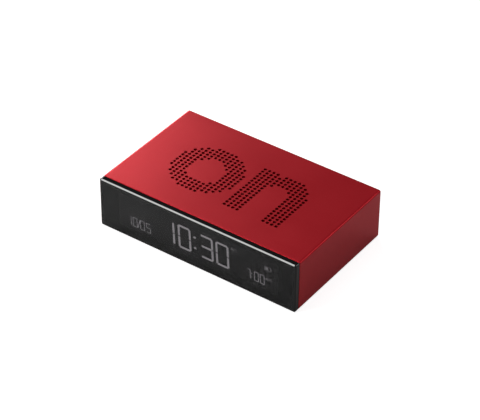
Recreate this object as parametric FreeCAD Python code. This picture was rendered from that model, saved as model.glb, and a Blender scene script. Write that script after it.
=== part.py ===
import FreeCAD, Part
import math
import os
from FreeCAD import Vector

# A flat alarm clock that is switched on and off by turning it over, in millimetres
# Frame: X to the right, Y from the display to the rear, Z up
# Origin: centre of the underside, on the surface that the clock rests on

# Overall size
clock_width = 107.0
clock_depth = 67.0
clock_height = 26.0

# How far cutting tools run past a face, and joined pieces run into each other
overrun = 1.0
fuse_overlap = 0.3

# Share of each straight run of a lead that its bends take up
bend_share = 0.45

# Housing sleeve
wall = 1.6
corner_radius = 1.0
inner_corner_radius = 0.6
rear_edge_radius = 0.4
front_edge_radius = 0.25
boss_size = 4.8
boss_length = 10.0
pilot_floor = 1.0

# Perforated words, as holes on one lattice
hole_diameter = 1.65
hole_pitch_x = 2.318
hole_pitch_y = 2.11
hole_columns = 29
hole_rows = 16
word_centre_x = -1.73
word_centre_y = 0.08
round_letter_radius = 17.15
round_counter_radius = 8.7
arch_radius = 12.1
arch_counter_radius = 5.7
small_round_radius = 13.2
small_counter_radius = 5.6
hook_radius = 11.6

# Front lens and the tape behind it
lens_thickness = 2.6
lens_chamfer = 0.5
tape_thickness = 0.4
tape_inset = 0.5
tape_overlap = 1.2

# Display stack, front to back
display_width = 89.4
display_height = 19.8
display_ledge = 2.1
display_margin = 1.0
polariser_thickness = 0.2
glass_thickness = 0.7
diffuser_thickness = 0.3
guide_width = 84.0
guide_thickness = 2.0
reflector_thickness = 0.2
led_width = 2.2
led_height = 3.0
led_gap = 0.15
zebra_height = 1.6
zebra_inset = 1.7

# Main board
board_thickness = 1.0
board_edge_gap = 0.8
board_screw_inset = 2.4
board_screw_height = 14.4
board_screw_length = 4.2

# Parts on the main board, placed from the middle of the clock
blob_x = -20.0
blob_ball_radius = 9.0
blob_height = 1.5
crystal_x = -34.0
crystal_rise = 5.0
crystal_length = 6.0
crystal_radius = 1.0
crystal_leg = 0.3
crystal_leg_length = 2.0
crystal_leg_spread = 0.7
capacitor_x = 6.0
capacitor_drop = 4.0
capacitor_radius = 2.5
capacitor_height = 7.0
capacitor_rim = 0.4
chip_length = 1.6
chip_width = 0.8
chip_height = 0.5
chip_pitch = 2.6
chip_rise = 6.5
lower_chips = 7
lower_chips_x = -38.0
upper_chips = 5
upper_chips_x = 30.0

# Screws
screw_radius = 0.9
screw_head_radius = 1.8
screw_head_height = 0.9
screw_slot_width = 0.5
screw_slot_depth = 0.5
screw_slot_share = 0.65
thread_clearance = 0.02

# Chassis
chassis_clearance = 0.2
chassis_side = 1.5
partition_thickness = 1.4
shelf_thickness = 1.2
shelf_width = 36.0
shelf_depth = 30.0

# Tilt switch
tilt_radius = 2.6
tilt_wall = 0.35
tilt_height = 7.4
tilt_base_thickness = 1.4
tilt_ball_radius = 1.8
tilt_ball_gap = 0.05
tilt_pin = 0.5
tilt_pin_spread = 2.2
tilt_pin_drop = 1.2
tilt_x = -6.0

# Piezo sounder
piezo_radius = 12.5
piezo_thickness = 0.3
piezo_ceramic_radius = 9.0
piezo_ceramic_thickness = 0.25
piezo_ring_width = 2.0
piezo_ring_height = 3.0
piezo_lead_diameter = 0.9
piezo_lead_steps = [(0, -3, 0), (0, -3, 5), (-1, -10, 8), (0.5, -19, 7)]
piezo_lead_rise = 6.0
piezo_lead_run = 5.0
red_lead_x = 3.0
black_lead_x = -10.8

# Cloths and touch foil
cloth_thickness = 0.2
cloth_margin = 2.0
foil_thickness = 0.1
foil_width = 80.0
foil_depth = 4.5
foil_gap = 1.0
touch_lead_diameter = 0.7
touch_lead_inset = 4.0
touch_lead_straight = 1.8
touch_lead_bend = 1.5
touch_lead_drop = 3.4

# Battery bay
cell_diameter = 10.3
cell_length = 44.5
nub_diameter = 3.8
nub_height = 1.0
cell_pitch = 10.45
cell_wall_gap = 0.5
cell_panel_gap = 0.15
bay_wall = 1.2
lead_channel = 2.4
plate_thickness = 0.4
plate_size = 8.0
plate_depth = 7.5
tab_width = 3.0
tab_reach = 1.9
spring_length = 4.7
spring_wire = 0.5
spring_turns = 3
spring_wide_radius = 3.4
spring_narrow_radius = 2.1
battery_lead_diameter = 1.2
battery_lead_steps = [(0, 4), (1.5, 16), (0.5, 28)]
battery_lead_bow = 1.0
battery_lead_shift = 2.0
battery_lead_run = 6.0
battery_lead_rise = 2.5
lead_slot_height = 14.0
cell_rest_shares = [0.3, 0.7]
cell_rest_reach = 1.8
cell_rest_height = 1.6

# Rear panel and battery door
panel_recess = 1.0
panel_thickness = 1.8
panel_gap = 0.15
panel_strip = 0.7
panel_screw_length = 8.0
screw_sink = 0.1
door_thickness = 1.2
door_gap = 0.15
door_ledge = 0.9
door_overhang = 0.6
tongue_width = 3.0
tongue_thickness = 0.5
tongue_gap = 0.22
tongue_reach = 0.3
latch_width = 3.4
latch_thickness = 0.8
latch_reach = 0.6
nail_scoop_radius = 3.0
nail_scoop_depth = 0.9
nail_scoop_width = 8.0
grip_ridges = 3
grip_ridge_height = 0.3
grip_ridge_width = 0.5
grip_ridge_pitch = 1.4
grip_ridge_inset = 4.0

# Rear buttons and their switches
button_names = ["time", "alarm", "up", "down", "light"]
button_diameter = 4.6
button_pitch = 7.2
button_proud = 0.6
button_clearance = 0.1
button_rim = 0.4
button_travel = 0.5
flange_width = 0.7
flange_thickness = 0.8
stem_diameter = 2.6
stem_length = 1.2
contact_gap = 0.05
plunger_diameter = 2.2
plunger_proud = 0.6
plunger_depth = 0.8
switch_size = 5.0
switch_height = 2.0
switch_well_gap = 0.1
key_board_gap = 0.7
key_board_height = 18.0
key_post_radius = 2.2
key_post_inset = 3.0
key_post_rise = 6.5
ribbon_width = 7.0
ribbon_thickness = 0.5
ribbon_inset = 1.5
ribbon_rise = 5.0
ribbon_steps = [(6, 0), (20, 2.0), (32, -1.0)]
ribbon_run = 6.0
ribbon_slot_margin = 0.5
ribbon_slot_height = 4.0

# Places worked out from the sizes above
half_width = clock_width / 2
half_depth = clock_depth / 2
mid_z = clock_height / 2
inner_x = half_width - wall
inner_floor = wall
inner_roof = clock_height - wall
lens_front = -half_depth
lens_back = lens_front + lens_thickness
seat_y = lens_back + tape_thickness
glass_joint_y = seat_y + glass_thickness
rear_glass_y = glass_joint_y + glass_thickness
rear_polariser_y = rear_glass_y + polariser_thickness
diffuser_y = rear_polariser_y + diffuser_thickness
guide_y = diffuser_y + guide_thickness
board_front = guide_y + reflector_thickness
board_rear = board_front + board_thickness
guide_height = display_height - 2 * display_ledge
panel_outer = half_depth - panel_recess
panel_inner = panel_outer - panel_thickness
door_inner = panel_outer - door_thickness
cell_y = panel_inner - cell_panel_gap - cell_diameter / 2
partition_rear = cell_y - cell_diameter / 2 - cell_wall_gap
partition_front = partition_rear - partition_thickness
chassis_x = inner_x - chassis_clearance
chassis_floor = inner_floor + chassis_clearance
chassis_roof = inner_roof - chassis_clearance
window_x = display_width / 2 + chassis_clearance
window_z = display_height / 2 + chassis_clearance
boss_inner_x = inner_x - boss_size
boss_hole_x = inner_x - boss_size / 2
boss_hole_z = mid_z - inner_floor - boss_size / 2
bay_length = cell_length + spring_length + 2 * plate_thickness
bay_outer_left = -(boss_inner_x - lead_channel)
bay_left = bay_outer_left + bay_wall
bay_right = bay_left + bay_length
bay_outer_right = bay_right + bay_wall
contact_left = bay_left + plate_thickness
contact_right = bay_right - plate_thickness
upper_z = mid_z + cell_pitch / 2
lower_z = mid_z - cell_pitch / 2
opening_left = bay_left + door_overhang
opening_right = bay_right - door_overhang
opening_half_z = mid_z - inner_floor - panel_gap - panel_strip
board_half_x = chassis_x - chassis_side - chassis_clearance
board_half_z = mid_z - inner_floor - board_edge_gap
board_screw_x = board_half_x - board_screw_inset
keys_x = (bay_outer_right + boss_inner_x) / 2
flange_outer = panel_inner - contact_gap
flange_inner = flange_outer - flange_thickness
stem_end = flange_inner - stem_length
plunger_top = stem_end - contact_gap
switch_top = plunger_top - plunger_proud
key_board_rear = switch_top - switch_height
key_board_front = key_board_rear - board_thickness
key_board_left = bay_outer_right + key_board_gap
key_board_right = boss_inner_x - key_board_gap
piezo_x = chassis_x - chassis_side - shelf_width / 2
piezo_y = partition_front - shelf_depth / 2
shelf_top = chassis_floor + shelf_thickness
piezo_seat = shelf_top + piezo_ring_height
piezo_top = piezo_seat + piezo_thickness
ribbon_x = key_board_left + ribbon_width / 2 + ribbon_inset
ribbon_z = mid_z + ribbon_rise
lead_x = bay_outer_left - lead_channel / 2
foil_front = board_rear + foil_gap
tilt_y = board_rear + tilt_radius + contact_gap
tilt_bottom = mid_z - tilt_height / 2
tilt_floor = tilt_bottom + tilt_base_thickness
tilt_ceiling = mid_z + tilt_height / 2 - tilt_wall


# Shape helpers

def block(x0, x1, y0, y1, z0, z1):
    return Part.makeBox(x1 - x0, y1 - y0, z1 - z0, Vector(x0, y0, z0))


def centred_block(x, z, size_x, size_z, y0, y1):
    return block(x - size_x / 2, x + size_x / 2, y0, y1, z - size_z / 2, z + size_z / 2)


def rod(x, y0, y1, z, radius):
    return Part.makeCylinder(radius, y1 - y0, Vector(x, y0, z), Vector(0, 1, 0))


def pillar(x, y, z0, z1, radius):
    return Part.makeCylinder(radius, z1 - z0, Vector(x, y, z0), Vector(0, 0, 1))


def bar_along_x(x0, x1, y, z, radius):
    return Part.makeCylinder(radius, x1 - x0, Vector(x0, y, z), Vector(1, 0, 0))


def edges_along_y(shape):
    found = []
    for edge in shape.Edges:
        first = edge.Vertexes[0].Point
        last = edge.Vertexes[-1].Point
        if abs(first.x - last.x) < 1e-6 and abs(first.z - last.z) < 1e-6:
            found.append(edge)
    return found


def edges_on_y(shape, y):
    found = []
    for edge in shape.Edges:
        if abs(edge.BoundBox.YMin - y) < 1e-6 and abs(edge.BoundBox.YMax - y) < 1e-6:
            found.append(edge)
    return found


def rounded_block(half_x, y0, y1, z0, z1, radius):
    shape = block(-half_x, half_x, y0, y1, z0, z1)
    return shape.makeFillet(radius, edges_along_y(shape))


def joined(shapes):
    whole = shapes[0]
    for shape in shapes[1:]:
        whole = whole.fuse(shape)
    return whole.removeSplitter()


def arc_from_tangents(start, corner, end):
    weight = (end - start).Length / 2 / (corner - start).Length
    middle = (start + end) * 0.5
    shoulder = (middle + corner * weight) * (1 / (1 + weight))
    return Part.Arc(start, shoulder, end).toShape()


def biarc(start, start_way, end, end_way):
    span = end - start
    both = start_way + end_way
    a = 2 * (start_way.dot(end_way) - 1)
    b = -2 * span.dot(both)
    c = span.dot(span)
    if abs(a) < 1e-9:
        reach = -c / b
    else:
        reach = (-b - math.sqrt(b * b - 4 * a * c)) / (2 * a)
    near = start + start_way * reach
    far = end - end_way * reach
    join = (near + far) * 0.5
    return [arc_from_tangents(start, near, join), arc_from_tangents(join, far, end)]


def tube_along(wire, start, way, radius):
    circle = Part.makeCircle(radius, start, way)
    return wire.makePipeShell([Part.Wire([circle])], True, False)


# Straight runs joined by tangent arcs through hand-chosen points
def routed_edges(points):
    edges = []
    at = points[0]
    for index in range(1, len(points) - 1):
        here = points[index]
        back = points[index - 1] - here
        ahead = points[index + 1] - here
        cut = bend_share * min(back.Length, ahead.Length)
        back.normalize()
        ahead.normalize()
        leave = here + back * cut
        meet = here + ahead * cut
        edges.append(Part.LineSegment(at, leave).toShape())
        edges.append(arc_from_tangents(leave, here, meet))
        at = meet
    edges.append(Part.LineSegment(at, points[-1]).toShape())
    return edges


def arc_radii(points):
    radii = []
    for index in range(1, len(points) - 1):
        back = points[index - 1] - points[index]
        ahead = points[index + 1] - points[index]
        turn = math.pi - back.getAngle(ahead)
        cut = bend_share * min(back.Length, ahead.Length)
        radii.append(cut / math.tan(turn / 2))
    return radii


def round_lead(points, diameter):
    wire = Part.Wire(routed_edges(points))
    tube = tube_along(wire, points[0], points[1] - points[0], diameter / 2)
    section = math.pi * diameter * diameter / 4
    print("lead radii", [round(r, 2) for r in arc_radii(points)])
    print("lead volume", round(tube.Volume, 3), "of", round(section * wire.Length, 3))
    return tube


def cross_recess(x, z, face, way):
    deep = face - way * screw_slot_depth
    low = min(face, deep)
    high = max(face, deep)
    arm = screw_head_radius * screw_slot_share
    across = centred_block(x, z, 2 * arm, screw_slot_width, low, high)
    upright = centred_block(x, z, screw_slot_width, 2 * arm, low, high)
    return across.fuse(upright)


# A screw driven forwards: its head is behind the face that it clamps
def screw(x, z, face, length):
    shank = rod(x, face - length, face, z, screw_radius)
    head = rod(x, face, face + screw_head_height, z, screw_head_radius)
    return shank.fuse(head).cut(cross_recess(x, z, face + screw_head_height, 1))


# The lattice of the perforated words

def in_circle(column, row, centre_column, centre_row, radius):
    dx = (column - centre_column) * hole_pitch_x
    dy = (row - centre_row) * hole_pitch_y
    return dx * dx + dy * dy < radius * radius


# Letter o: a ring, 15 columns wide, whose counter sits a little low
def is_round_letter(column, row):
    outer = in_circle(column, row, 7, 7.5, round_letter_radius)
    counter = in_circle(column, row, 7, 7.64, round_counter_radius)
    return outer and not counter


# Letter n: a stem, an arch and a leg, 13 columns wide
def is_arch_letter(column, row):
    stem = column <= 3
    arch = row <= 5 and column >= 4 and in_circle(column, row, 7, 5, arch_radius)
    leg = row >= 5 and 9 <= column <= 12
    counter = in_circle(column, row, 6, 6, arch_counter_radius)
    below = row >= 6 and 4 <= column <= 8
    return (stem or arch or leg) and not counter and not below


# Small o: a ring, 11 columns wide and 12 rows high
def is_small_round_letter(column, row):
    outer = in_circle(column, row, 5, 9.5, small_round_radius)
    counter = in_circle(column, row, 5, 9.5, small_counter_radius)
    return row >= 4 and outer and not counter


# Letter f: a stem, a hook and a bar, 8 columns wide
def is_hooked_letter(column, row):
    stem = 2 <= column <= 5 and row >= 3
    hook = row <= 3 and in_circle(column, row, 7, 4.5, hook_radius)
    under_hook = row == 3 and column >= 6
    bar = 5 <= row <= 7
    return stem or bar or (hook and not under_hook)


def word_on(column, row):
    if column <= 14:
        return is_round_letter(column, row)
    return column >= 16 and is_arch_letter(column - 16, row)


def word_off(column, row):
    if column <= 10:
        return is_small_round_letter(column, row)
    if 12 <= column <= 19:
        return is_hooked_letter(column - 12, row)
    return column >= 21 and is_hooked_letter(column - 21, row)


def word_holes(word, side, z0, z1):
    holes = []
    for row in range(hole_rows):
        y = word_centre_y + (hole_rows / 2 - 0.5 - row) * hole_pitch_y
        for column in range(hole_columns):
            if word(column, row):
                along = word_centre_x + (column - hole_columns / 2 + 0.5) * hole_pitch_x
                holes.append(pillar(side * along, y, z0, z1, hole_diameter / 2))
    return holes


# Housing

def sleeve_boss(side, level):
    x0 = min(side * boss_inner_x, side * (inner_x + wall / 2))
    x1 = max(side * boss_inner_x, side * (inner_x + wall / 2))
    near = mid_z + level * (mid_z - inner_floor - boss_size)
    far = mid_z + level * (mid_z - wall / 2)
    z0 = min(near, far)
    z1 = max(near, far)
    return block(x0, x1, panel_inner - boss_length, panel_inner, z0, z1)


def corner_signs():
    return [(side, level) for side in (-1, 1) for level in (-1, 1)]


def housing_sleeve():
    outer = rounded_block(half_width, seat_y, half_depth, 0, clock_height, corner_radius)
    outer = outer.makeFillet(rear_edge_radius, edges_on_y(outer, half_depth))
    outer = outer.makeFillet(front_edge_radius, edges_on_y(outer, seat_y))
    bore = rounded_block(inner_x, seat_y - overrun, half_depth + overrun, inner_floor, inner_roof,
                         inner_corner_radius)
    sleeve = outer.cut(bore)
    bosses = [sleeve_boss(side, level) for side, level in corner_signs()]
    sleeve = joined([sleeve] + bosses)
    pilots = []
    for side, level in corner_signs():
        x = side * boss_hole_x
        z = mid_z + level * boss_hole_z
        deep = panel_inner - boss_length + pilot_floor
        pilots.append(rod(x, deep, panel_inner + overrun, z, screw_radius + thread_clearance))
    sleeve = sleeve.cut(Part.makeCompound(pilots))
    top = word_holes(word_on, 1, inner_roof - overrun, clock_height + overrun)
    bottom = word_holes(word_off, -1, -overrun, inner_floor + overrun)
    sleeve = sleeve.cut(Part.makeCompound(top))
    return sleeve.cut(Part.makeCompound(bottom))


def front_lens():
    lens = rounded_block(half_width, lens_front, lens_back, 0, clock_height, corner_radius)
    return lens.makeChamfer(lens_chamfer, edges_on_y(lens, lens_front))


def lens_tape():
    outer = rounded_block(half_width - tape_inset, lens_back, seat_y, tape_inset,
                          clock_height - tape_inset, corner_radius - tape_inset)
    open_x = display_width / 2 - tape_overlap
    open_z = display_height / 2 - tape_overlap
    opening = centred_block(0, mid_z, 2 * open_x, 2 * open_z, lens_back - overrun, seat_y + overrun)
    return outer.cut(opening)


# Display stack

def display_plate(width, height, y0, y1):
    return centred_block(0, mid_z, width, height, y0, y1)


def front_polariser():
    gap = tape_overlap + display_margin
    return display_plate(display_width - 2 * gap, display_height - 2 * gap,
                         seat_y - polariser_thickness, seat_y)


def lcd_front_glass():
    return display_plate(display_width, display_height, seat_y, glass_joint_y)


def lcd_rear_glass():
    return display_plate(display_width, guide_height, glass_joint_y, rear_glass_y)


def rear_polariser():
    return display_plate(display_width - 2 * display_margin, guide_height - display_margin,
                         rear_glass_y, rear_polariser_y)


def diffuser_sheet():
    return display_plate(guide_width, guide_height, rear_polariser_y, diffuser_y)


def light_guide():
    return display_plate(guide_width, guide_height, diffuser_y, guide_y)


def reflector_sheet():
    return display_plate(guide_width, guide_height, guide_y, board_front)


def backlight_leds():
    leds = []
    for side in (-1, 1):
        x = side * (guide_width / 2 + led_gap + led_width / 2)
        leds.append(centred_block(x, mid_z, led_width, led_height, diffuser_y, board_front))
    return Part.makeCompound(leds)


def zebra_strip(level):
    z = mid_z + level * (display_height / 2 - display_ledge / 2)
    width = display_width - 2 * zebra_inset
    return centred_block(0, z, width, zebra_height, glass_joint_y, board_front)


# Main board and what it carries

def board_screw_places():
    places = []
    for side, level in corner_signs():
        places.append((side * board_screw_x, mid_z + level * board_screw_height / 2))
    return places


def main_board():
    board = centred_block(0, mid_z, 2 * board_half_x, 2 * board_half_z, board_front, board_rear)
    holes = []
    for x, z in board_screw_places():
        holes.append(rod(x, board_front - overrun, board_rear + overrun, z,
                         screw_radius + chassis_clearance))
    return board.cut(Part.makeCompound(holes))


def controller_blob():
    ball_y = board_rear + blob_height - blob_ball_radius
    ball = Part.makeSphere(blob_ball_radius, Vector(blob_x, ball_y, mid_z))
    behind_board = centred_block(blob_x, mid_z, 2 * blob_ball_radius, 2 * blob_ball_radius,
                                 board_rear, board_rear + 2 * blob_ball_radius)
    return ball.common(behind_board)


# A can that lies on the board, with two bent legs
def clock_crystal():
    y = board_rear + crystal_radius + contact_gap
    z = mid_z + crystal_rise
    can = bar_along_x(crystal_x, crystal_x + crystal_length, y, z, crystal_radius)
    legs = []
    for side in (-1, 1):
        z0 = z + side * crystal_leg_spread / 2 - crystal_leg / 2
        x0 = crystal_x - crystal_leg_length
        legs.append(block(x0, crystal_x, y - crystal_leg / 2, y + crystal_leg / 2, z0,
                          z0 + crystal_leg))
        legs.append(block(x0, x0 + crystal_leg, board_rear, y + crystal_leg / 2, z0,
                          z0 + crystal_leg))
    return joined([can] + legs)


def bulk_capacitor():
    top = board_rear + capacitor_height
    can = rod(capacitor_x, board_rear, top, mid_z - capacitor_drop, capacitor_radius)
    return can.makeFillet(capacitor_rim, edges_on_y(can, top))


def chip_row(count, first_x, z, size_x, size_z):
    return [centred_block(first_x + chip_pitch * step, z, size_x, size_z, board_rear,
                          board_rear + chip_height) for step in range(count)]


def chip_parts():
    lower = chip_row(lower_chips, lower_chips_x, mid_z - chip_rise, chip_length, chip_width)
    upper = chip_row(upper_chips, upper_chips_x, mid_z + chip_rise, chip_width, chip_length)
    return Part.makeCompound(lower + upper)


def board_screws():
    return Part.makeCompound([screw(x, z, board_rear, board_screw_length)
                              for x, z in board_screw_places()])


# Tilt switch: a ball that rolls to the lower end of an upright can

def tilt_switch_can():
    can = pillar(tilt_x, tilt_y, tilt_floor, mid_z + tilt_height / 2, tilt_radius)
    hollow = pillar(tilt_x, tilt_y, tilt_floor - overrun, tilt_ceiling, tilt_radius - tilt_wall)
    return can.cut(hollow)


def tilt_switch_base():
    return pillar(tilt_x, tilt_y, tilt_bottom, tilt_floor, tilt_radius)


def tilt_switch_pins():
    pins = []
    for side in (-1, 1):
        x0 = tilt_x + side * tilt_pin_spread / 2 - tilt_pin / 2
        down = block(x0, x0 + tilt_pin, tilt_y - tilt_pin, tilt_y, tilt_bottom - tilt_pin_drop,
                     tilt_bottom)
        foot = block(x0, x0 + tilt_pin, board_rear, tilt_y, tilt_bottom - tilt_pin_drop,
                     tilt_bottom - tilt_pin_drop + tilt_pin)
        pins.append(joined([down, foot]))
    return Part.makeCompound(pins)


def tilt_switch_ball():
    centre = Vector(tilt_x, tilt_y, tilt_floor + tilt_ball_gap + tilt_ball_radius)
    return Part.makeSphere(tilt_ball_radius, centre)


# Sounder

def piezo_disc():
    return pillar(piezo_x, piezo_y, piezo_seat, piezo_top, piezo_radius)


def piezo_ceramic():
    return pillar(piezo_x, piezo_y, piezo_top, piezo_top + piezo_ceramic_thickness,
                  piezo_ceramic_radius)


def piezo_lead(offset, foot_z):
    x = piezo_x + offset
    end_z = foot_z + piezo_lead_rise
    points = [Vector(x + step_x, piezo_y + step_y, foot_z + step_z)
              for step_x, step_y, step_z in piezo_lead_steps]
    points += [Vector(x, board_rear + piezo_lead_run, end_z), Vector(x, board_rear, end_z)]
    return round_lead(points, piezo_lead_diameter)


# Cloths behind the holes, and the touch foil in front of them

def dust_cloth(side, z0):
    reach_x = (hole_columns - 1) / 2 * hole_pitch_x + hole_diameter / 2 + cloth_margin
    reach_y = (hole_rows - 1) / 2 * hole_pitch_y + hole_diameter / 2 + cloth_margin
    x = side * word_centre_x
    return block(x - reach_x, x + reach_x, word_centre_y - reach_y, word_centre_y + reach_y,
                 z0, z0 + cloth_thickness)


def touch_foil():
    return block(-foil_width / 2, foil_width / 2, foil_front, foil_front + foil_depth,
                 inner_roof - foil_thickness, inner_roof)


def touch_lead():
    x = -foil_width / 2 + touch_lead_inset
    y = foil_front + foil_depth / 2
    top = inner_roof - foil_thickness
    points = [Vector(x, y, top),
              Vector(x, y, top - touch_lead_straight),
              Vector(x, y - touch_lead_bend, top - touch_lead_drop),
              Vector(x, board_rear, top - touch_lead_drop)]
    return round_lead(points, touch_lead_diameter)


# Chassis

def chassis_front_frame():
    frame = centred_block(0, mid_z, 2 * chassis_x, chassis_roof - chassis_floor, seat_y,
                          board_front)
    window = centred_block(0, mid_z, 2 * window_x, 2 * window_z, seat_y - overrun,
                           board_front + overrun)
    frame = frame.cut(window)
    pilots = []
    for x, z in board_screw_places():
        deep = board_rear - board_screw_length - contact_gap
        pilots.append(rod(x, deep, board_front + overrun, z, screw_radius + thread_clearance))
    return frame.cut(Part.makeCompound(pilots))


def chassis_side_wall(side):
    x0 = min(side * chassis_x, side * (chassis_x - chassis_side))
    return block(x0, x0 + chassis_side, board_front - overrun, partition_rear, chassis_floor,
                 chassis_roof)


def ribbon_slot():
    return centred_block(ribbon_x, ribbon_z, ribbon_width + 2 * ribbon_slot_margin,
                         ribbon_slot_height, partition_front - overrun, partition_rear + overrun)


def lead_slot():
    return centred_block(lead_x, mid_z, lead_channel, lead_slot_height, partition_front - overrun,
                         partition_rear + overrun)


def chassis_partition():
    wall_plate = block(-chassis_x, chassis_x, partition_front, partition_rear, chassis_floor,
                       chassis_roof)
    return wall_plate.cut(ribbon_slot()).cut(lead_slot())


def bay_end_wall(x0):
    return block(x0, x0 + bay_wall, partition_rear - fuse_overlap,
                 panel_inner - chassis_clearance, chassis_floor, chassis_roof)


def cell_rest(x):
    return block(x, x + bay_wall, partition_rear - fuse_overlap,
                 partition_rear + cell_rest_reach, mid_z - cell_rest_height / 2,
                 mid_z + cell_rest_height / 2)


def key_post_places():
    left = key_board_left + key_post_inset
    right = key_board_right - key_post_inset
    return [(left, mid_z - key_post_rise), (right, mid_z - key_post_rise),
            (right, mid_z + key_post_rise)]


def chassis_key_posts():
    return [rod(x, partition_rear - fuse_overlap, key_board_front, z, key_post_radius)
            for x, z in key_post_places()]


def chassis_shelf():
    right = chassis_x - chassis_side / 2
    left = chassis_x - chassis_side - shelf_width
    shelf = block(left, right, partition_front - shelf_depth, partition_front + fuse_overlap,
                  chassis_floor, shelf_top)
    ring = pillar(piezo_x, piezo_y, shelf_top - fuse_overlap, piezo_seat, piezo_radius)
    shelf = shelf.fuse(ring)
    shelf = shelf.cut(pillar(piezo_x, piezo_y, shelf_top, piezo_seat + overrun,
                             piezo_radius - piezo_ring_width))
    return shelf.cut(pillar(piezo_x, piezo_y, 0, shelf_top + overrun, piezo_ceramic_radius / 2))


def contact_tab_slot(z):
    return block(bay_outer_left - overrun, bay_left + overrun, cell_y - tab_width / 2 - contact_gap,
                 cell_y + tab_width / 2 + contact_gap, z - plate_thickness / 2 - contact_gap,
                 z + plate_thickness / 2 + contact_gap)


def chassis():
    pieces = [chassis_front_frame(), chassis_side_wall(-1), chassis_side_wall(1),
              chassis_partition(), bay_end_wall(bay_outer_left), bay_end_wall(bay_right),
              chassis_shelf()]
    rests = [cell_rest(bay_left + bay_length * share) for share in cell_rest_shares]
    body = joined(pieces + rests + chassis_key_posts())
    pilots = []
    for x, z in key_post_places():
        pilots.append(rod(x, partition_rear + pilot_floor, key_board_front + overrun, z,
                          screw_radius + thread_clearance))
    body = body.cut(Part.makeCompound(pilots))
    slots = [contact_tab_slot(upper_z), contact_tab_slot(lower_z)]
    return body.cut(Part.makeCompound(slots))


# Cells and contacts

def battery_cell(base_x, way, z):
    can_length = cell_length - nub_height
    x0 = min(base_x, base_x + way * can_length)
    can = bar_along_x(x0, x0 + can_length, cell_y, z, cell_diameter / 2)
    tip = base_x + way * cell_length
    root = tip - way * (nub_height + fuse_overlap)
    nub = bar_along_x(min(tip, root), max(tip, root), cell_y, z, nub_diameter / 2)
    return joined([can, nub])


def contact_plate(z):
    front = cell_y - plate_size / 2
    plate = block(bay_left, contact_left, front, front + plate_depth, z - plate_size / 2,
                  z + plate_size / 2)
    tab = block(bay_outer_left - tab_reach, bay_left + plate_thickness / 2,
                cell_y - tab_width / 2, cell_y + tab_width / 2, z - plate_thickness / 2,
                z + plate_thickness / 2)
    return joined([plate, tab])


def link_plate():
    front = cell_y - plate_size / 2
    return block(contact_right, bay_right, front, front + plate_depth, lower_z - plate_size / 2,
                 upper_z + plate_size / 2)


# One unbroken conical coil, wide at its plate and narrow at its cell
def contact_spring(plate_x, way, z):
    start = plate_x + way * (spring_wire / 2 + contact_gap)
    rise = spring_length - spring_wire - 2 * contact_gap
    quarters = spring_turns * 4

    def at(step):
        share = step / quarters
        radius = spring_wide_radius + (spring_narrow_radius - spring_wide_radius) * share
        turn = step * math.pi / 2
        return Vector(start + way * rise * share, cell_y + radius * math.cos(turn),
                      z + radius * math.sin(turn))

    def heading(step):
        share = step / quarters
        radius = spring_wide_radius + (spring_narrow_radius - spring_wide_radius) * share
        shrink = (spring_narrow_radius - spring_wide_radius) / (quarters * math.pi / 2)
        turn = step * math.pi / 2
        ahead = Vector(way * rise / (quarters * math.pi / 2),
                       shrink * math.cos(turn) - radius * math.sin(turn),
                       shrink * math.sin(turn) + radius * math.cos(turn))
        return ahead.normalize()

    edges = []
    for step in range(quarters):
        edges += biarc(at(step), heading(step), at(step + 1), heading(step + 1))
    wire = Part.Wire(edges)
    coil = tube_along(wire, at(0), heading(0), spring_wire / 2)
    pitch = rise / spring_turns
    lean = (spring_wide_radius - spring_narrow_radius) / spring_turns
    print("spring least gap", round(math.hypot(pitch, lean) - spring_wire, 2))
    return coil


# Side is 1 for the upper cell and -1 for the lower one
def battery_lead(z, side):
    board_z = mid_z + side * battery_lead_rise
    halfway = (z + board_z) / 2
    heights = [z, halfway + side * battery_lead_bow, halfway]
    points = [Vector(lead_x, cell_y - tab_width / 2, z)]
    for (step_x, ahead), height in zip(battery_lead_steps, heights):
        points.append(Vector(lead_x + step_x, partition_front - ahead, height))
    end_x = lead_x + battery_lead_shift
    points += [Vector(end_x, board_rear + battery_lead_run, board_z),
               Vector(end_x, board_rear, board_z)]
    return round_lead(points, battery_lead_diameter)


# Rear panel and battery door

def panel_screw_places():
    return [(side * boss_hole_x, mid_z + level * boss_hole_z) for side, level in corner_signs()]


def rear_panel():
    half_x = inner_x - panel_gap
    half_z = mid_z - inner_floor - panel_gap
    panel = rounded_block(half_x, panel_inner, panel_outer, mid_z - half_z, mid_z + half_z,
                          inner_corner_radius)
    pocket = block(opening_left, opening_right, door_inner, panel_outer + overrun,
                   mid_z - opening_half_z, mid_z + opening_half_z)
    through = block(opening_left + door_ledge, opening_right - door_ledge, panel_inner - overrun,
                    panel_outer + overrun, mid_z - opening_half_z, mid_z + opening_half_z)
    panel = panel.cut(pocket).cut(through)
    scoop_y = panel_outer - nail_scoop_depth + nail_scoop_radius
    scoop = pillar(opening_left, scoop_y, mid_z - nail_scoop_width / 2,
                   mid_z + nail_scoop_width / 2, nail_scoop_radius)
    panel = panel.cut(scoop)
    holes = []
    for x in button_places():
        holes.append(rod(x, panel_inner - overrun, panel_outer + overrun, mid_z,
                         button_diameter / 2 + button_clearance))
    for x, z in panel_screw_places():
        holes.append(rod(x, panel_inner - overrun, panel_outer + overrun, z,
                         screw_radius + chassis_clearance))
        holes.append(rod(x, panel_outer - screw_head_height - screw_sink, panel_outer + overrun, z,
                         screw_head_radius + chassis_clearance))
    return panel.cut(Part.makeCompound(holes))


def rear_panel_screws():
    face = panel_outer - screw_head_height - screw_sink
    return Part.makeCompound([screw(x, z, face, panel_screw_length)
                              for x, z in panel_screw_places()])


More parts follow.
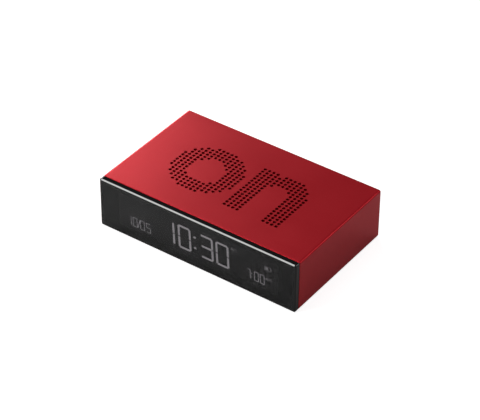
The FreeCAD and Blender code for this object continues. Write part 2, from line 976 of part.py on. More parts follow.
def door_tongue():
    root_x = opening_right - door_ledge - door_gap
    top = panel_inner - tongue_gap
    neck = block(root_x - latch_thickness, root_x, top - tongue_thickness,
                 door_inner + fuse_overlap, mid_z - tongue_width / 2, mid_z + tongue_width / 2)
    tip = block(root_x - latch_thickness, opening_right + tongue_reach, top - tongue_thickness, top,
                mid_z - tongue_width / 2, mid_z + tongue_width / 2)
    return neck.fuse(tip)


def door_latch():
    root_x = opening_left + door_ledge + door_gap
    top = panel_inner - contact_gap
    low = top - latch_reach
    finger = block(root_x, root_x + latch_thickness, low, door_inner + fuse_overlap,
                   mid_z - latch_width / 2, mid_z + latch_width / 2)
    hook = block(root_x - latch_reach, root_x + latch_thickness, low, top,
                 mid_z - latch_width / 2, mid_z + latch_width / 2)
    return finger.fuse(hook)


def battery_door():
    half_z = opening_half_z - door_gap
    plate = block(opening_left + door_gap, opening_right - door_gap, door_inner + contact_gap,
                  panel_outer, mid_z - half_z, mid_z + half_z)
    ridges = []
    for step in range(grip_ridges):
        x = opening_left + grip_ridge_inset + step * grip_ridge_pitch
        ridges.append(block(x, x + grip_ridge_width, panel_outer - fuse_overlap,
                            panel_outer + grip_ridge_height, mid_z - nail_scoop_width / 2,
                            mid_z + nail_scoop_width / 2))
    return joined([plate, door_tongue(), door_latch()] + ridges)


# Buttons, switches and their board

def button_places():
    count = len(button_names)
    return [keys_x + (index - (count - 1) / 2) * button_pitch for index in range(count)]


def rear_button(x):
    cap = rod(x, flange_inner, panel_outer + button_proud, mid_z, button_diameter / 2)
    cap = cap.makeFillet(button_rim, edges_on_y(cap, panel_outer + button_proud))
    flange = rod(x, flange_inner, flange_outer, mid_z, button_diameter / 2 + flange_width)
    stem = rod(x, stem_end, flange_inner + fuse_overlap, mid_z, stem_diameter / 2)
    return joined([cap, flange, stem])


def switch_plunger(x):
    return rod(x, switch_top - plunger_depth, plunger_top, mid_z, plunger_diameter / 2)


def switch_bases():
    bases = []
    for x in button_places():
        base = centred_block(x, mid_z, switch_size, switch_size, key_board_rear, switch_top)
        well_floor = switch_top - plunger_depth - button_travel - switch_well_gap
        well = rod(x, well_floor, switch_top + overrun, mid_z,
                   plunger_diameter / 2 + button_clearance)
        bases.append(base.cut(well))
    return Part.makeCompound(bases)


def key_board():
    board = block(key_board_left, key_board_right, key_board_front, key_board_rear,
                  mid_z - key_board_height / 2, mid_z + key_board_height / 2)
    holes = []
    for x, z in key_post_places():
        holes.append(rod(x, key_board_front - overrun, key_board_rear + overrun, z,
                         screw_radius + chassis_clearance))
    return board.cut(Part.makeCompound(holes))


def key_board_screws():
    return Part.makeCompound([screw(x, z, key_board_rear, board_screw_length)
                              for x, z in key_post_places()])


def ribbon_cable():
    points = [Vector(0, key_board_front, ribbon_z)]
    points += [Vector(0, partition_front - ahead, ribbon_z + rise) for ahead, rise in ribbon_steps]
    points += [Vector(0, board_rear + ribbon_run, ribbon_z), Vector(0, board_rear, ribbon_z)]
    print("ribbon radii", [round(r, 2) for r in arc_radii(points)])
    wire = Part.Wire(routed_edges(points))
    half = ribbon_thickness / 2
    left = ribbon_x - ribbon_width / 2
    corners = [Vector(left, key_board_front, ribbon_z - half),
               Vector(left + ribbon_width, key_board_front, ribbon_z - half),
               Vector(left + ribbon_width, key_board_front, ribbon_z + half),
               Vector(left, key_board_front, ribbon_z + half)]
    return wire.makePipeShell([Part.makePolygon(corners + corners[:1])], True, False)


def all_parts():
    parts = {
        "housing_sleeve": housing_sleeve(),
        "front_lens": front_lens(),
        "lens_tape": lens_tape(),
        "front_polariser": front_polariser(),
        "lcd_front_glass": lcd_front_glass(),
        "lcd_rear_glass": lcd_rear_glass(),
        "rear_polariser": rear_polariser(),
        "diffuser_sheet": diffuser_sheet(),
        "light_guide": light_guide(),
        "reflector_sheet": reflector_sheet(),
        "backlight_leds": backlight_leds(),
        "zebra_strip_upper": zebra_strip(1),
        "zebra_strip_lower": zebra_strip(-1),
        "main_board": main_board(),
        "controller_blob": controller_blob(),
        "clock_crystal": clock_crystal(),
        "bulk_capacitor": bulk_capacitor(),
        "chip_parts": chip_parts(),
        "board_screws": board_screws(),
        "tilt_switch_can": tilt_switch_can(),
        "tilt_switch_base": tilt_switch_base(),
        "tilt_switch_pins": tilt_switch_pins(),
        "tilt_switch_ball": tilt_switch_ball(),
        "piezo_disc": piezo_disc(),
        "piezo_ceramic": piezo_ceramic(),
        "piezo_lead_red": piezo_lead(red_lead_x, piezo_top + piezo_ceramic_thickness),
        "piezo_lead_black": piezo_lead(black_lead_x, piezo_top),
        "top_dust_cloth": dust_cloth(1, inner_roof - cloth_thickness),
        "bottom_dust_cloth": dust_cloth(-1, inner_floor),
        "touch_foil": touch_foil(),
        "touch_lead": touch_lead(),
        "chassis": chassis(),
        "battery_cell_upper": battery_cell(contact_left + cell_length, -1, upper_z),
        "battery_cell_lower": battery_cell(contact_right - cell_length, 1, lower_z),
        "positive_plate": contact_plate(upper_z),
        "negative_plate": contact_plate(lower_z),
        "link_plate": link_plate(),
        "negative_spring": contact_spring(contact_left, 1, lower_z),
        "link_spring": contact_spring(contact_right, -1, upper_z),
        "battery_lead_red": battery_lead(upper_z, 1),
        "battery_lead_black": battery_lead(lower_z, -1),
        "rear_panel": rear_panel(),
        "rear_panel_screws": rear_panel_screws(),
        "battery_door": battery_door(),
        "key_board": key_board(),
        "key_board_screws": key_board_screws(),
        "switch_bases": switch_bases(),
        "ribbon_cable": ribbon_cable(),
    }
    for name, x in zip(button_names, button_places()):
        parts["button_" + name] = rear_button(x)
        parts["plunger_" + name] = switch_plunger(x)
    return parts


os.makedirs("parts", exist_ok=True)
for node, shape in all_parts().items():
    shape.exportStep("parts/" + node + ".step")
    print(node, len(shape.Solids), shape.isValid(), round(shape.Volume, 2))
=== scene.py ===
import math

import bmesh
import bpy
from mathutils import Matrix, Vector


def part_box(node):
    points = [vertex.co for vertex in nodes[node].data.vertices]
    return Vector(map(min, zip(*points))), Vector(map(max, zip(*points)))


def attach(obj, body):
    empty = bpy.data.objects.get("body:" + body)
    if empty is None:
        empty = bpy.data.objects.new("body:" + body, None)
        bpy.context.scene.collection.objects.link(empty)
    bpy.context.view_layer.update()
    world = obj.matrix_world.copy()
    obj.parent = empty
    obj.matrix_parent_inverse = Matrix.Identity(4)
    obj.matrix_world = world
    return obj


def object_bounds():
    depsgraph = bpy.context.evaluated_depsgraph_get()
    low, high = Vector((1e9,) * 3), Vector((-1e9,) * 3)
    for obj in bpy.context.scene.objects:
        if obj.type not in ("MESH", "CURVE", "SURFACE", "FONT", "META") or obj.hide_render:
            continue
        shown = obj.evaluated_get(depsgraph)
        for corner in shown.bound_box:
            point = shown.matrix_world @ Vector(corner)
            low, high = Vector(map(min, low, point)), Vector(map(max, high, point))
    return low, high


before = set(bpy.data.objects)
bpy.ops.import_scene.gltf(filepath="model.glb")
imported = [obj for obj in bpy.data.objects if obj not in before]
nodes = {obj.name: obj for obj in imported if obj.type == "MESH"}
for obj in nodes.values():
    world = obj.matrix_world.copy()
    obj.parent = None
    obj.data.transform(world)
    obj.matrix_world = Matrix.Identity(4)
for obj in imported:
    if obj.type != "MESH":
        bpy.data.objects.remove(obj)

# A flat alarm clock with a gloss front, switched on and off by turning it over
# Lengths are in metres, and a length written in millimetres is multiplied by MM

MM = 0.001
BODY = "clock_body"
DOOR = "battery_door"
KEYS = ("time", "alarm", "up", "down", "light")

# Sizes of the whole clock and of its main pieces, from the frame
cad_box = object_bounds()
low, high = cad_box
lens_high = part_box("front_lens")[1]
polariser_low, polariser_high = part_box("front_polariser")
panel_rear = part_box("rear_panel")[1].y
door_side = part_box("battery_door")[0].x
board_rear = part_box("main_board")[1].y
middle_z = (low.z + high.z) / 2


# Camera, at the photograph's angle

CAMERA_AZIMUTH = 35.332
CAMERA_ELEVATION = 37.393
CAMERA_ROLL = 0.447
CAMERA_DISTANCE = 956.0 * MM
CAMERA_SHIFT_RIGHT = 0.29 * MM
CAMERA_SHIFT_UP = 9.105 * MM
CAMERA_LENS = 157.88
CAMERA_SENSOR = 36


def add_camera():
    azimuth = math.radians(CAMERA_AZIMUTH)
    elevation = math.radians(CAMERA_ELEVATION)
    roll = math.radians(CAMERA_ROLL)
    back = Vector((math.sin(azimuth) * math.cos(elevation),
                   -math.cos(azimuth) * math.cos(elevation), math.sin(elevation)))
    right = Vector((0, 0, 1)).cross(back).normalized()
    up = back.cross(right)
    turned_right = right * math.cos(roll) + up * math.sin(roll)
    turned_up = up * math.cos(roll) - right * math.sin(roll)
    data = bpy.data.cameras.new("camera")
    data.sensor_width = CAMERA_SENSOR
    data.lens = CAMERA_LENS
    data.clip_start = 0.01
    data.clip_end = 20
    camera = bpy.data.objects.new("camera", data)
    bpy.context.scene.collection.objects.link(camera)
    camera.matrix_world = Matrix((turned_right, turned_up, back)).transposed().to_4x4()
    camera.location = (back * CAMERA_DISTANCE + turned_right * CAMERA_SHIFT_RIGHT
                       + turned_up * CAMERA_SHIFT_UP)
    bpy.context.scene.camera = camera


# Node tools

def fill(tree, socket, value):
    if isinstance(value, bpy.types.NodeSocket):
        tree.links.new(value, socket)
    else:
        socket.default_value = value


def add_node(tree, kind, inputs=None, **settings):
    node = tree.nodes.new(kind)
    for label, value in settings.items():
        setattr(node, label, value)
    for label, value in (inputs or {}).items():
        fill(tree, node.inputs[label], value)
    return node


def calculate(tree, operation, *values):
    node = add_node(tree, "ShaderNodeMath", operation=operation)
    for socket, value in zip(node.inputs, values):
        fill(tree, socket, value)
    return node.outputs[0]


def rescale(tree, value, from_low, from_high, to_low=0.0, to_high=1.0):
    inputs = {"Value": value, "From Min": from_low, "From Max": from_high, "To Min": to_low,
              "To Max": to_high}
    return add_node(tree, "ShaderNodeMapRange", inputs).outputs[0]


def mix_colours(tree, share, first, second):
    node = add_node(tree, "ShaderNodeMix", data_type="RGBA")
    fill(tree, node.inputs[0], share)
    fill(tree, node.inputs[6], first)
    fill(tree, node.inputs[7], second)
    return node.outputs[2]


def noise(tree, vector, size, detail=3.0):
    inputs = {"Vector": vector, "Scale": size, "Detail": detail}
    return add_node(tree, "ShaderNodeTexNoise", inputs).outputs[0]


def object_place(tree):
    return add_node(tree, "ShaderNodeTexCoord").outputs["Object"]


# An effect is a node group with number inputs and value outputs
def new_effect(name, inputs, outputs):
    tree = bpy.data.node_groups.new(name, "ShaderNodeTree")
    for label, value in inputs.items():
        socket = tree.interface.new_socket(label, in_out="INPUT", socket_type="NodeSocketFloat")
        socket.default_value = value
    for label in outputs:
        tree.interface.new_socket(label, in_out="OUTPUT", socket_type="NodeSocketFloat")
    entry = tree.nodes.new("NodeGroupInput").outputs
    leave = tree.nodes.new("NodeGroupOutput").inputs
    return tree, entry, leave


def per_metre(tree, size_in_mm):
    return calculate(tree, "DIVIDE", 1000.0, size_in_mm)


# Fine uneven tone, as pigment and moulding flow leave it
def make_mottle():
    tree, entry, leave = new_effect("mottle", {"size": 1.0}, ["tone"])
    scale = per_metre(tree, entry["size"])
    fine = noise(tree, object_place(tree), scale, 4.0)
    broad = noise(tree, object_place(tree), calculate(tree, "MULTIPLY", scale, 0.06), 2.0)
    both = calculate(tree, "ADD", calculate(tree, "MULTIPLY", fine, 0.5),
                     calculate(tree, "MULTIPLY", broad, 0.5))
    tree.links.new(rescale(tree, both, 0.35, 0.65), leave["tone"])
    return tree


# Moulded or sprayed skin: rounded bumps of one size
def make_skin():
    tree, entry, leave = new_effect("skin", {"size": 0.3}, ["height"])
    cells = add_node(tree, "ShaderNodeTexVoronoi",
                     {"Vector": object_place(tree), "Scale": per_metre(tree, entry["size"])},
                     feature="SMOOTH_F1")
    soft = noise(tree, object_place(tree), per_metre(tree, entry["size"]), 2.0)
    tree.links.new(calculate(tree, "ADD", cells.outputs["Distance"], soft), leave["height"])
    return tree


# Bright or bare line along corners, broken up by noise
def make_edge_wear():
    tree, entry, leave = new_effect("edge_wear", {"width": 0.3, "amount": 0.5}, ["mask"])
    radius = calculate(tree, "MULTIPLY", entry["width"], MM)
    rounded = add_node(tree, "ShaderNodeBevel", {"Radius": radius}, samples=4)
    flat = add_node(tree, "ShaderNodeNewGeometry").outputs["Normal"]
    match = add_node(tree, "ShaderNodeVectorMath", operation="DOT_PRODUCT")
    tree.links.new(rounded.outputs[0], match.inputs[0])
    tree.links.new(flat, match.inputs[1])
    corner = rescale(tree, match.outputs["Value"], 0.995, 0.90)
    breaks = rescale(tree, noise(tree, object_place(tree), 700.0, 5.0), 0.35, 0.6)
    worn = calculate(tree, "MULTIPLY", corner, breaks)
    tree.links.new(calculate(tree, "MULTIPLY", worn, entry["amount"]), leave["mask"])
    return tree


# Roughness that hands and cloths leave: broad smears with fine wiping lines
def make_handling():
    tree, entry, leave = new_effect("handling", {"low": 0.3, "high": 0.4}, ["roughness"])
    smears = noise(tree, object_place(tree), 45.0, 4.0)
    turned = add_node(tree, "ShaderNodeMapping",
                      {"Vector": object_place(tree), "Rotation": (0.3, 0.2, 0.6),
                       "Scale": (1.0, 14.0, 14.0)})
    wiping = noise(tree, turned.outputs[0], 60.0, 4.0)
    both = calculate(tree, "ADD", calculate(tree, "MULTIPLY", smears, 0.6),
                     calculate(tree, "MULTIPLY", wiping, 0.4))
    tree.links.new(rescale(tree, both, 0.35, 0.65, entry["low"], entry["high"]),
                   leave["roughness"])
    return tree


# Rolling or drawing lines along X, as on sheet metal and wire
def make_drawn_lines():
    tree, entry, leave = new_effect("drawn_lines", {"size": 0.1}, ["height"])
    stretched = add_node(tree, "ShaderNodeMapping",
                         {"Vector": object_place(tree), "Scale": (0.04, 1.0, 1.0)})
    lines = noise(tree, stretched.outputs[0], per_metre(tree, entry["size"]), 3.0)
    tree.links.new(lines, leave["height"])
    return tree


# Dust that settles on faces that look upwards
def make_dust():
    tree, entry, leave = new_effect("dust", {"amount": 0.1}, ["mask"])
    normal = add_node(tree, "ShaderNodeNewGeometry").outputs["Normal"]
    upward = add_node(tree, "ShaderNodeSeparateXYZ", {"Vector": normal}).outputs["Z"]
    facing = rescale(tree, upward, 0.3, 1.0)
    specks = rescale(tree, noise(tree, object_place(tree), 2500.0, 2.0), 0.62, 0.75)
    both = calculate(tree, "MULTIPLY", facing, specks)
    tree.links.new(calculate(tree, "MULTIPLY", both, entry["amount"]), leave["mask"])
    return tree


# Threads that cross over and under each other, in the XY plane
def make_weave():
    tree, entry, leave = new_effect("weave", {"pitch": 0.3}, ["height"])
    scale = calculate(tree, "MULTIPLY", per_metre(tree, entry["pitch"]), 0.16)
    waves = []
    for direction in ("X", "Y"):
        wave = add_node(tree, "ShaderNodeTexWave",
                        {"Vector": object_place(tree), "Scale": scale, "Distortion": 0.4},
                        bands_direction=direction)
        waves.append(wave.outputs["Fac"])
    tree.links.new(calculate(tree, "MAXIMUM", *waves), leave["height"])
    return tree


mottle = make_mottle()
skin = make_skin()
edge_wear = make_edge_wear()
handling = make_handling()
drawn_lines = make_drawn_lines()
dust = make_dust()
weave = make_weave()


# One material in the making: its colour, roughness and height are built up in layers
class Finish:
    def __init__(self, name, colour, roughness, **constants):
        self.material = bpy.data.materials.new(name)
        self.material.use_nodes = True
        self.tree = self.material.node_tree
        self.shader = self.tree.nodes["Principled BSDF"]
        for label, value in constants.items():
            self.shader.inputs[label.replace("_", " ")].default_value = value
        self.colour = (*colour, 1)
        self.roughness = roughness
        self.normal = None

    def effect(self, group, output, **inputs):
        return add_node(self.tree, "ShaderNodeGroup", inputs, node_tree=group).outputs[output]

    def place(self):
        return object_place(self.tree)

    def axis(self, name):
        return add_node(self.tree, "ShaderNodeSeparateXYZ", {"Vector": self.place()}).outputs[name]

    def layer(self, mask, colour):
        self.colour = mix_colours(self.tree, mask, self.colour, (*colour, 1))

    def tone(self, size, share, colour):
        mask = calculate(self.tree, "MULTIPLY", self.effect(mottle, "tone", size=size), share)
        self.layer(mask, colour)

    def marks(self, spread):
        self.roughness = self.effect(handling, "roughness", low=self.roughness - spread,
                                     high=self.roughness + spread)

    def wear(self, width, amount, colour, roughness=None):
        mask = self.effect(edge_wear, "mask", width=width, amount=amount)
        self.layer(mask, colour)
        if roughness is not None:
            self.rough_layer(mask, roughness)

    def rough_layer(self, mask, roughness):
        mixed = add_node(self.tree, "ShaderNodeMix", data_type="FLOAT")
        fill(self.tree, mixed.inputs[0], mask)
        fill(self.tree, mixed.inputs[2], self.roughness)
        fill(self.tree, mixed.inputs[3], roughness)
        self.roughness = mixed.outputs[0]

    def settle(self, amount):
        mask = self.effect(dust, "mask", amount=amount)
        self.layer(mask, (0.6, 0.57, 0.54))
        self.rough_layer(mask, 0.9)

    def bump(self, height, distance_mm):
        node = add_node(self.tree, "ShaderNodeBump",
                        {"Height": height, "Strength": 1.0, "Distance": distance_mm * MM})
        if self.normal is not None:
            self.tree.links.new(self.normal, node.inputs["Normal"])
        self.normal = node.outputs[0]

    def skin(self, size, depth):
        self.bump(self.effect(skin, "height", size=size), depth)

    def drawn(self, size, depth):
        self.bump(self.effect(drawn_lines, "height", size=size), depth)

    def from_middle(self):
        return calculate(self.tree, "ABSOLUTE",
                         calculate(self.tree, "SUBTRACT", self.axis("Z"), middle_z))

    def done(self):
        fill(self.tree, self.shader.inputs["Base Color"], self.colour)
        fill(self.tree, self.shader.inputs["Roughness"], self.roughness)
        if self.normal is not None:
            self.tree.links.new(self.normal, self.shader.inputs["Normal"])
        return self.material


# Finishes of the outside

# Depths in a hole between which the painted shade fades in, and the rims at the sides and rear
# that it leaves out
HOLE_SHADE_START = 0.03 * MM
HOLE_SHADE_FULL = 0.25 * MM
SIDE_RIM = 1.6 * MM
REAR_RIM = 1.0 * MM


# Painted shade in the holes: the walls turn darker red past the first part of each hole
def painted_hole_shade(finish):
    deep = rescale(finish.tree, finish.from_middle(), middle_z - HOLE_SHADE_START, middle_z - HOLE_SHADE_FULL)
    beside = calculate(finish.tree, "ABSOLUTE", finish.axis("X"))
    inside_x = calculate(finish.tree, "LESS_THAN", beside, high.x - SIDE_RIM)
    inside_y = calculate(finish.tree, "LESS_THAN", finish.axis("Y"), high.y - REAR_RIM)
    inside = calculate(finish.tree, "MULTIPLY", inside_x, inside_y)
    return calculate(finish.tree, "MULTIPLY", deep, inside)


def red_lacquer():
    finish = Finish("red_lacquer", (0.60, 0.005, 0.016), 0.325, Metallic=0.6,
                    Specular_IOR_Level=0.45)
    finish.tone(0.35, 0.18, (0.50, 0.004, 0.012))
    # Darker red on the hole walls is painted shade
    finish.layer(painted_hole_shade(finish), (0.42, 0.005, 0.012))
    finish.marks(0.025)
    finish.wear(0.25, 0.5, (0.72, 0.02, 0.035), 0.4)
    finish.settle(0.05)
    finish.skin(0.6, 0.0016)
    return finish.done()


def red_moulding():
    finish = Finish("red_moulding", (0.46, 0.006, 0.014), 0.5)
    finish.tone(0.5, 0.3, (0.38, 0.005, 0.011))
    finish.marks(0.05)
    finish.wear(0.2, 0.6, (0.60, 0.03, 0.04), 0.4)
    finish.skin(0.22, 0.006)
    return finish.done()


# Where the lens's dark edge begins and where it is complete, from its outside
EDGE_INNER = 1.4 * MM
EDGE_OUTER = 1.3 * MM


# Smoked acrylic that lets no light through near its edges
def smoked_lens():
    finish = Finish("smoked_lens", (0.14, 0.135, 0.14), 0.02, IOR=1.49, Transmission_Weight=1.0)
    beside = calculate(finish.tree, "ABSOLUTE", finish.axis("X"))
    for offset, edge in ((beside, lens_high.x), (finish.from_middle(), lens_high.z - middle_z)):
        finish.layer(rescale(finish.tree, offset, edge - EDGE_INNER, edge - EDGE_OUTER), (0, 0, 0))
    finish.marks(0.012)
    return finish.done()


def button_plastic():
    finish = Finish("button_plastic", (0.022, 0.022, 0.023), 0.5)
    finish.tone(0.4, 0.5, (0.03, 0.03, 0.032))
    finish.marks(0.06)
    finish.wear(0.3, 0.7, (0.07, 0.07, 0.07), 0.35)
    finish.skin(0.16, 0.005)
    return finish.done()


def symbol_ink():
    finish = Finish("symbol_ink", (0.62, 0.60, 0.58), 0.55)
    finish.tone(0.3, 0.5, (0.5, 0.48, 0.46))
    finish.skin(0.1, 0.003)
    return finish.done()


def zinc_steel():
    finish = Finish("zinc_steel", (0.52, 0.53, 0.55), 0.32, Metallic=1.0)
    finish.tone(0.6, 0.4, (0.40, 0.40, 0.42))
    finish.marks(0.08)
    finish.wear(0.1, 0.5, (0.75, 0.75, 0.76))
    finish.drawn(0.12, 0.004)
    return finish.done()


# Finishes of the display

def foam_tape():
    finish = Finish("foam_tape", (0.008, 0.008, 0.008), 0.85)
    finish.tone(0.2, 0.5, (0.016, 0.016, 0.016))
    finish.skin(0.12, 0.02)
    return finish.done()


def mask_ink():
    finish = Finish("mask_ink", (0.002, 0.002, 0.002), 0.5, Specular_IOR_Level=0.05)
    finish.tone(2.0, 0.5, (0.003, 0.003, 0.003))
    finish.skin(2.0, 0.0005)
    return finish.done()


def segment_light(name, strength):
    finish = Finish(name, (0.30, 0.30, 0.31), 0.6, Emission_Strength=strength)
    finish.tone(0.5, 0.5, (0.25, 0.25, 0.26))
    glow = mix_colours(finish.tree, finish.effect(mottle, "tone", size=2.0),
                       (0.76, 0.74, 0.76, 1), (0.66, 0.64, 0.66, 1))
    finish.tree.links.new(glow, finish.shader.inputs["Emission Color"])
    return finish.done()


def polariser_film():
    finish = Finish("polariser_film", (0.002, 0.002, 0.002), 0.5, Specular_IOR_Level=0.05)
    finish.tone(2.0, 0.4, (0.003, 0.003, 0.003))
    finish.marks(0.04)
    finish.drawn(3.0, 0.0005)
    return finish.done()


def display_glass():
    finish = Finish("display_glass", (0.78, 0.84, 0.80), 0.03, IOR=1.52, Transmission_Weight=1.0)
    finish.marks(0.02)
    return finish.done()


def diffuser_film():
    finish = Finish("diffuser_film", (0.86, 0.87, 0.88), 0.7)
    finish.tone(0.3, 0.3, (0.78, 0.79, 0.80))
    finish.skin(0.08, 0.004)
    return finish.done()


def guide_acrylic():
    finish = Finish("guide_acrylic", (0.9, 0.93, 0.95), 0.06, IOR=1.49, Transmission_Weight=1.0)
    finish.marks(0.03)
    return finish.done()


def reflector_film():
    finish = Finish("reflector_film", (0.88, 0.88, 0.88), 0.45)
    finish.tone(0.6, 0.3, (0.80, 0.80, 0.80))
    finish.marks(0.08)
    finish.skin(0.2, 0.002)
    return finish.done()


# A white body round a yellow middle, whose edge is soft
YELLOW_OUTER = 1.1 * MM
YELLOW_INNER = 0.9 * MM


def led_body():
    finish = Finish("led_body", (0.85, 0.83, 0.78), 0.35)
    yellow = rescale(finish.tree, finish.from_middle(), YELLOW_OUTER, YELLOW_INNER)
    finish.layer(yellow, (0.80, 0.66, 0.12))
    finish.tone(0.3, 0.2, (0.7, 0.68, 0.6))
    finish.skin(0.1, 0.004)
    return finish.done()


# Black and grey rubber in thin upright leaves
def zebra_rubber():
    finish = Finish("zebra_rubber", (0.55, 0.55, 0.57), 0.6)
    leaves = add_node(finish.tree, "ShaderNodeTexWave",
                      {"Vector": finish.place(), "Scale": 1600.0, "Distortion": 0.3},
                      bands_direction="X")
    finish.layer(rescale(finish.tree, leaves.outputs["Fac"], 0.35, 0.65), (0.02, 0.02, 0.022))
    finish.bump(leaves.outputs["Fac"], 0.01)
    return finish.done()


# Finishes of the inside

def black_moulding():
    finish = Finish("black_moulding", (0.02, 0.02, 0.021), 0.5)
    finish.tone(0.8, 0.5, (0.03, 0.03, 0.032))
    finish.marks(0.08)
    finish.wear(0.2, 0.5, (0.06, 0.06, 0.06))
    finish.skin(0.3, 0.01)
    return finish.done()


# Green solder mask over copper tracks that run along and across the board
def board_laminate():
    finish = Finish("board_laminate", (0.012, 0.14, 0.045), 0.28)
    turned = add_node(finish.tree, "ShaderNodeMapping",
                      {"Vector": finish.place(), "Rotation": (math.radians(90), 0, 0)})
    tracks = add_node(finish.tree, "ShaderNodeTexBrick",
                      {"Vector": turned.outputs[0], "Scale": 210.0, "Mortar Size": 0.05,
                       "Mortar Smooth": 0.2, "Brick Width": 1.7, "Row Height": 0.35})
    finish.layer(tracks.outputs["Fac"], (0.03, 0.26, 0.09))
    finish.tone(1.0, 0.3, (0.01, 0.10, 0.035))
    finish.marks(0.06)
    finish.bump(tracks.outputs["Fac"], 0.03)
    finish.skin(0.4, 0.004)
    return finish.done()


def potting_epoxy():
    finish = Finish("potting_epoxy", (0.012, 0.012, 0.013), 0.18)
    finish.tone(1.5, 0.5, (0.02, 0.02, 0.02))
    finish.marks(0.06)
    finish.skin(2.5, 0.03)
    return finish.done()


def nickel_plate():
    finish = Finish("nickel_plate", (0.66, 0.63, 0.58), 0.2, Metallic=1.0)
    finish.tone(0.8, 0.4, (0.52, 0.49, 0.44))
    finish.marks(0.07)
    finish.wear(0.08, 0.4, (0.8, 0.78, 0.74))
    finish.drawn(0.15, 0.003)
    return finish.done()


def solder():
    finish = Finish("solder", (0.60, 0.60, 0.60), 0.25, Metallic=1.0)
    finish.tone(0.4, 0.5, (0.42, 0.42, 0.43))
    finish.skin(0.5, 0.02)
    return finish.done()


# How far the pale stripe and the bare end reach in from the outside, with their soft edges
STRIPE = (0.9 * MM, 0.7 * MM)
BARE_END = (0.30 * MM, 0.25 * MM)


# Dark shrink sleeve with a pale stripe, and a bare end
def capacitor_sleeve():
    finish = Finish("capacitor_sleeve", (0.012, 0.02, 0.09), 0.3)
    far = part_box("bulk_capacitor")[1]
    stripe = rescale(finish.tree, finish.axis("X"), *[far.x - reach for reach in STRIPE])
    finish.layer(stripe, (0.5, 0.52, 0.55))
    bare = rescale(finish.tree, finish.axis("Y"), *[far.y - reach for reach in BARE_END])
    finish.layer(bare, (0.6, 0.6, 0.6))
    finish.tree.links.new(bare, finish.shader.inputs["Metallic"])
    finish.tone(0.5, 0.2, (0.02, 0.02, 0.05))
    finish.marks(0.06)
    finish.skin(0.5, 0.006)
    return finish.done()


def chip_ceramic():
    finish = Finish("chip_ceramic", (0.24, 0.17, 0.10), 0.45)
    finish.tone(0.3, 0.5, (0.30, 0.23, 0.15))
    finish.wear(0.05, 0.4, (0.4, 0.33, 0.24))
    finish.skin(0.08, 0.008)
    return finish.done()


def switch_plastic():
    finish = Finish("switch_plastic", (0.025, 0.025, 0.026), 0.42)
    finish.tone(0.5, 0.5, (0.035, 0.035, 0.036))
    finish.wear(0.12, 0.5, (0.08, 0.08, 0.08))
    finish.skin(0.15, 0.006)
    return finish.done()


def plunger_plastic():
    finish = Finish("plunger_plastic", (0.20, 0.085, 0.035), 0.4)
    finish.tone(0.4, 0.4, (0.15, 0.06, 0.025))
    finish.wear(0.1, 0.5, (0.3, 0.15, 0.08))
    finish.skin(0.12, 0.005)
    return finish.done()


def polished_ball():
    finish = Finish("polished_ball", (0.78, 0.72, 0.55), 0.08, Metallic=1.0)
    finish.tone(0.5, 0.3, (0.68, 0.62, 0.46))
    finish.marks(0.03)
    finish.skin(0.4, 0.002)
    return finish.done()


def sounder_brass():
    finish = Finish("sounder_brass", (0.72, 0.50, 0.17), 0.26, Metallic=1.0)
    finish.tone(1.2, 0.5, (0.58, 0.38, 0.12))
    finish.marks(0.08)
    finish.drawn(0.2, 0.005)
    return finish.done()


def silvered_ceramic():
    finish = Finish("silvered_ceramic", (0.78, 0.77, 0.73), 0.4)
    finish.tone(0.5, 0.4, (0.68, 0.67, 0.62))
    finish.marks(0.06)
    finish.skin(0.15, 0.006)
    return finish.done()


def lead_insulation(name, colour, darker):
    finish = Finish(name, colour, 0.42)
    finish.tone(0.5, 0.5, darker)
    finish.marks(0.08)
    finish.skin(0.25, 0.006)
    return finish.done()


def acoustic_cloth():
    finish = Finish("acoustic_cloth", (0.010, 0.007, 0.007), 0.9)
    threads = finish.effect(weave, "height", pitch=0.35)
    finish.layer(calculate(finish.tree, "MULTIPLY", threads, 0.6), (0.022, 0.016, 0.016))
    finish.tone(0.4, 0.3, (0.006, 0.004, 0.004))
    finish.bump(threads, 0.05)
    return finish.done()


def copper_foil():
    finish = Finish("copper_foil", (0.80, 0.38, 0.22), 0.28, Metallic=1.0)
    finish.tone(1.5, 0.5, (0.62, 0.27, 0.15))
    finish.marks(0.08)
    finish.skin(1.6, 0.03)
    return finish.done()


# Shares of a cell's length where its bare root ends, its pale band lies and its bare tip begins
ROOT_END = 0.008
BAND_START = 0.88
BAND_END = 0.94
TIP_START = 0.972


# A slate jacket with a pale band, and bare steel at both ends
def cell_jacket(node, tip_side):
    finish = Finish("cell_jacket_" + node, (0.035, 0.05, 0.075), 0.28)
    cell_low, cell_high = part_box(node)
    start, end = (cell_low.x, cell_high.x) if tip_side > 0 else (cell_high.x, cell_low.x)
    along = rescale(finish.tree, finish.axis("X"), start, end)
    ramp = add_node(finish.tree, "ShaderNodeValToRGB", {"Fac": along})
    ramp.color_ramp.interpolation = "CONSTANT"
    steel = (0.55, 0.55, 0.54, 1)
    pale = (0.42, 0.43, 0.44, 1)
    stops = [(0.0, steel), (ROOT_END, finish.colour), (BAND_START, pale),
             (BAND_END, finish.colour), (TIP_START, steel)]
    while len(ramp.color_ramp.elements) < len(stops):
        ramp.color_ramp.elements.new(0.5)
    for element, (place, colour) in zip(ramp.color_ramp.elements, stops):
        element.position = place
        element.color = colour
    finish.colour = ramp.outputs["Color"]
    bare = calculate(finish.tree, "ADD", calculate(finish.tree, "LESS_THAN", along, ROOT_END),
                     calculate(finish.tree, "GREATER_THAN", along, TIP_START))
    finish.tree.links.new(bare, finish.shader.inputs["Metallic"])
    finish.tone(0.6, 0.15, (0.03, 0.03, 0.03))
    finish.marks(0.06)
    finish.skin(0.5, 0.003)
    return finish.done()


RIBBON_WIRES = 10


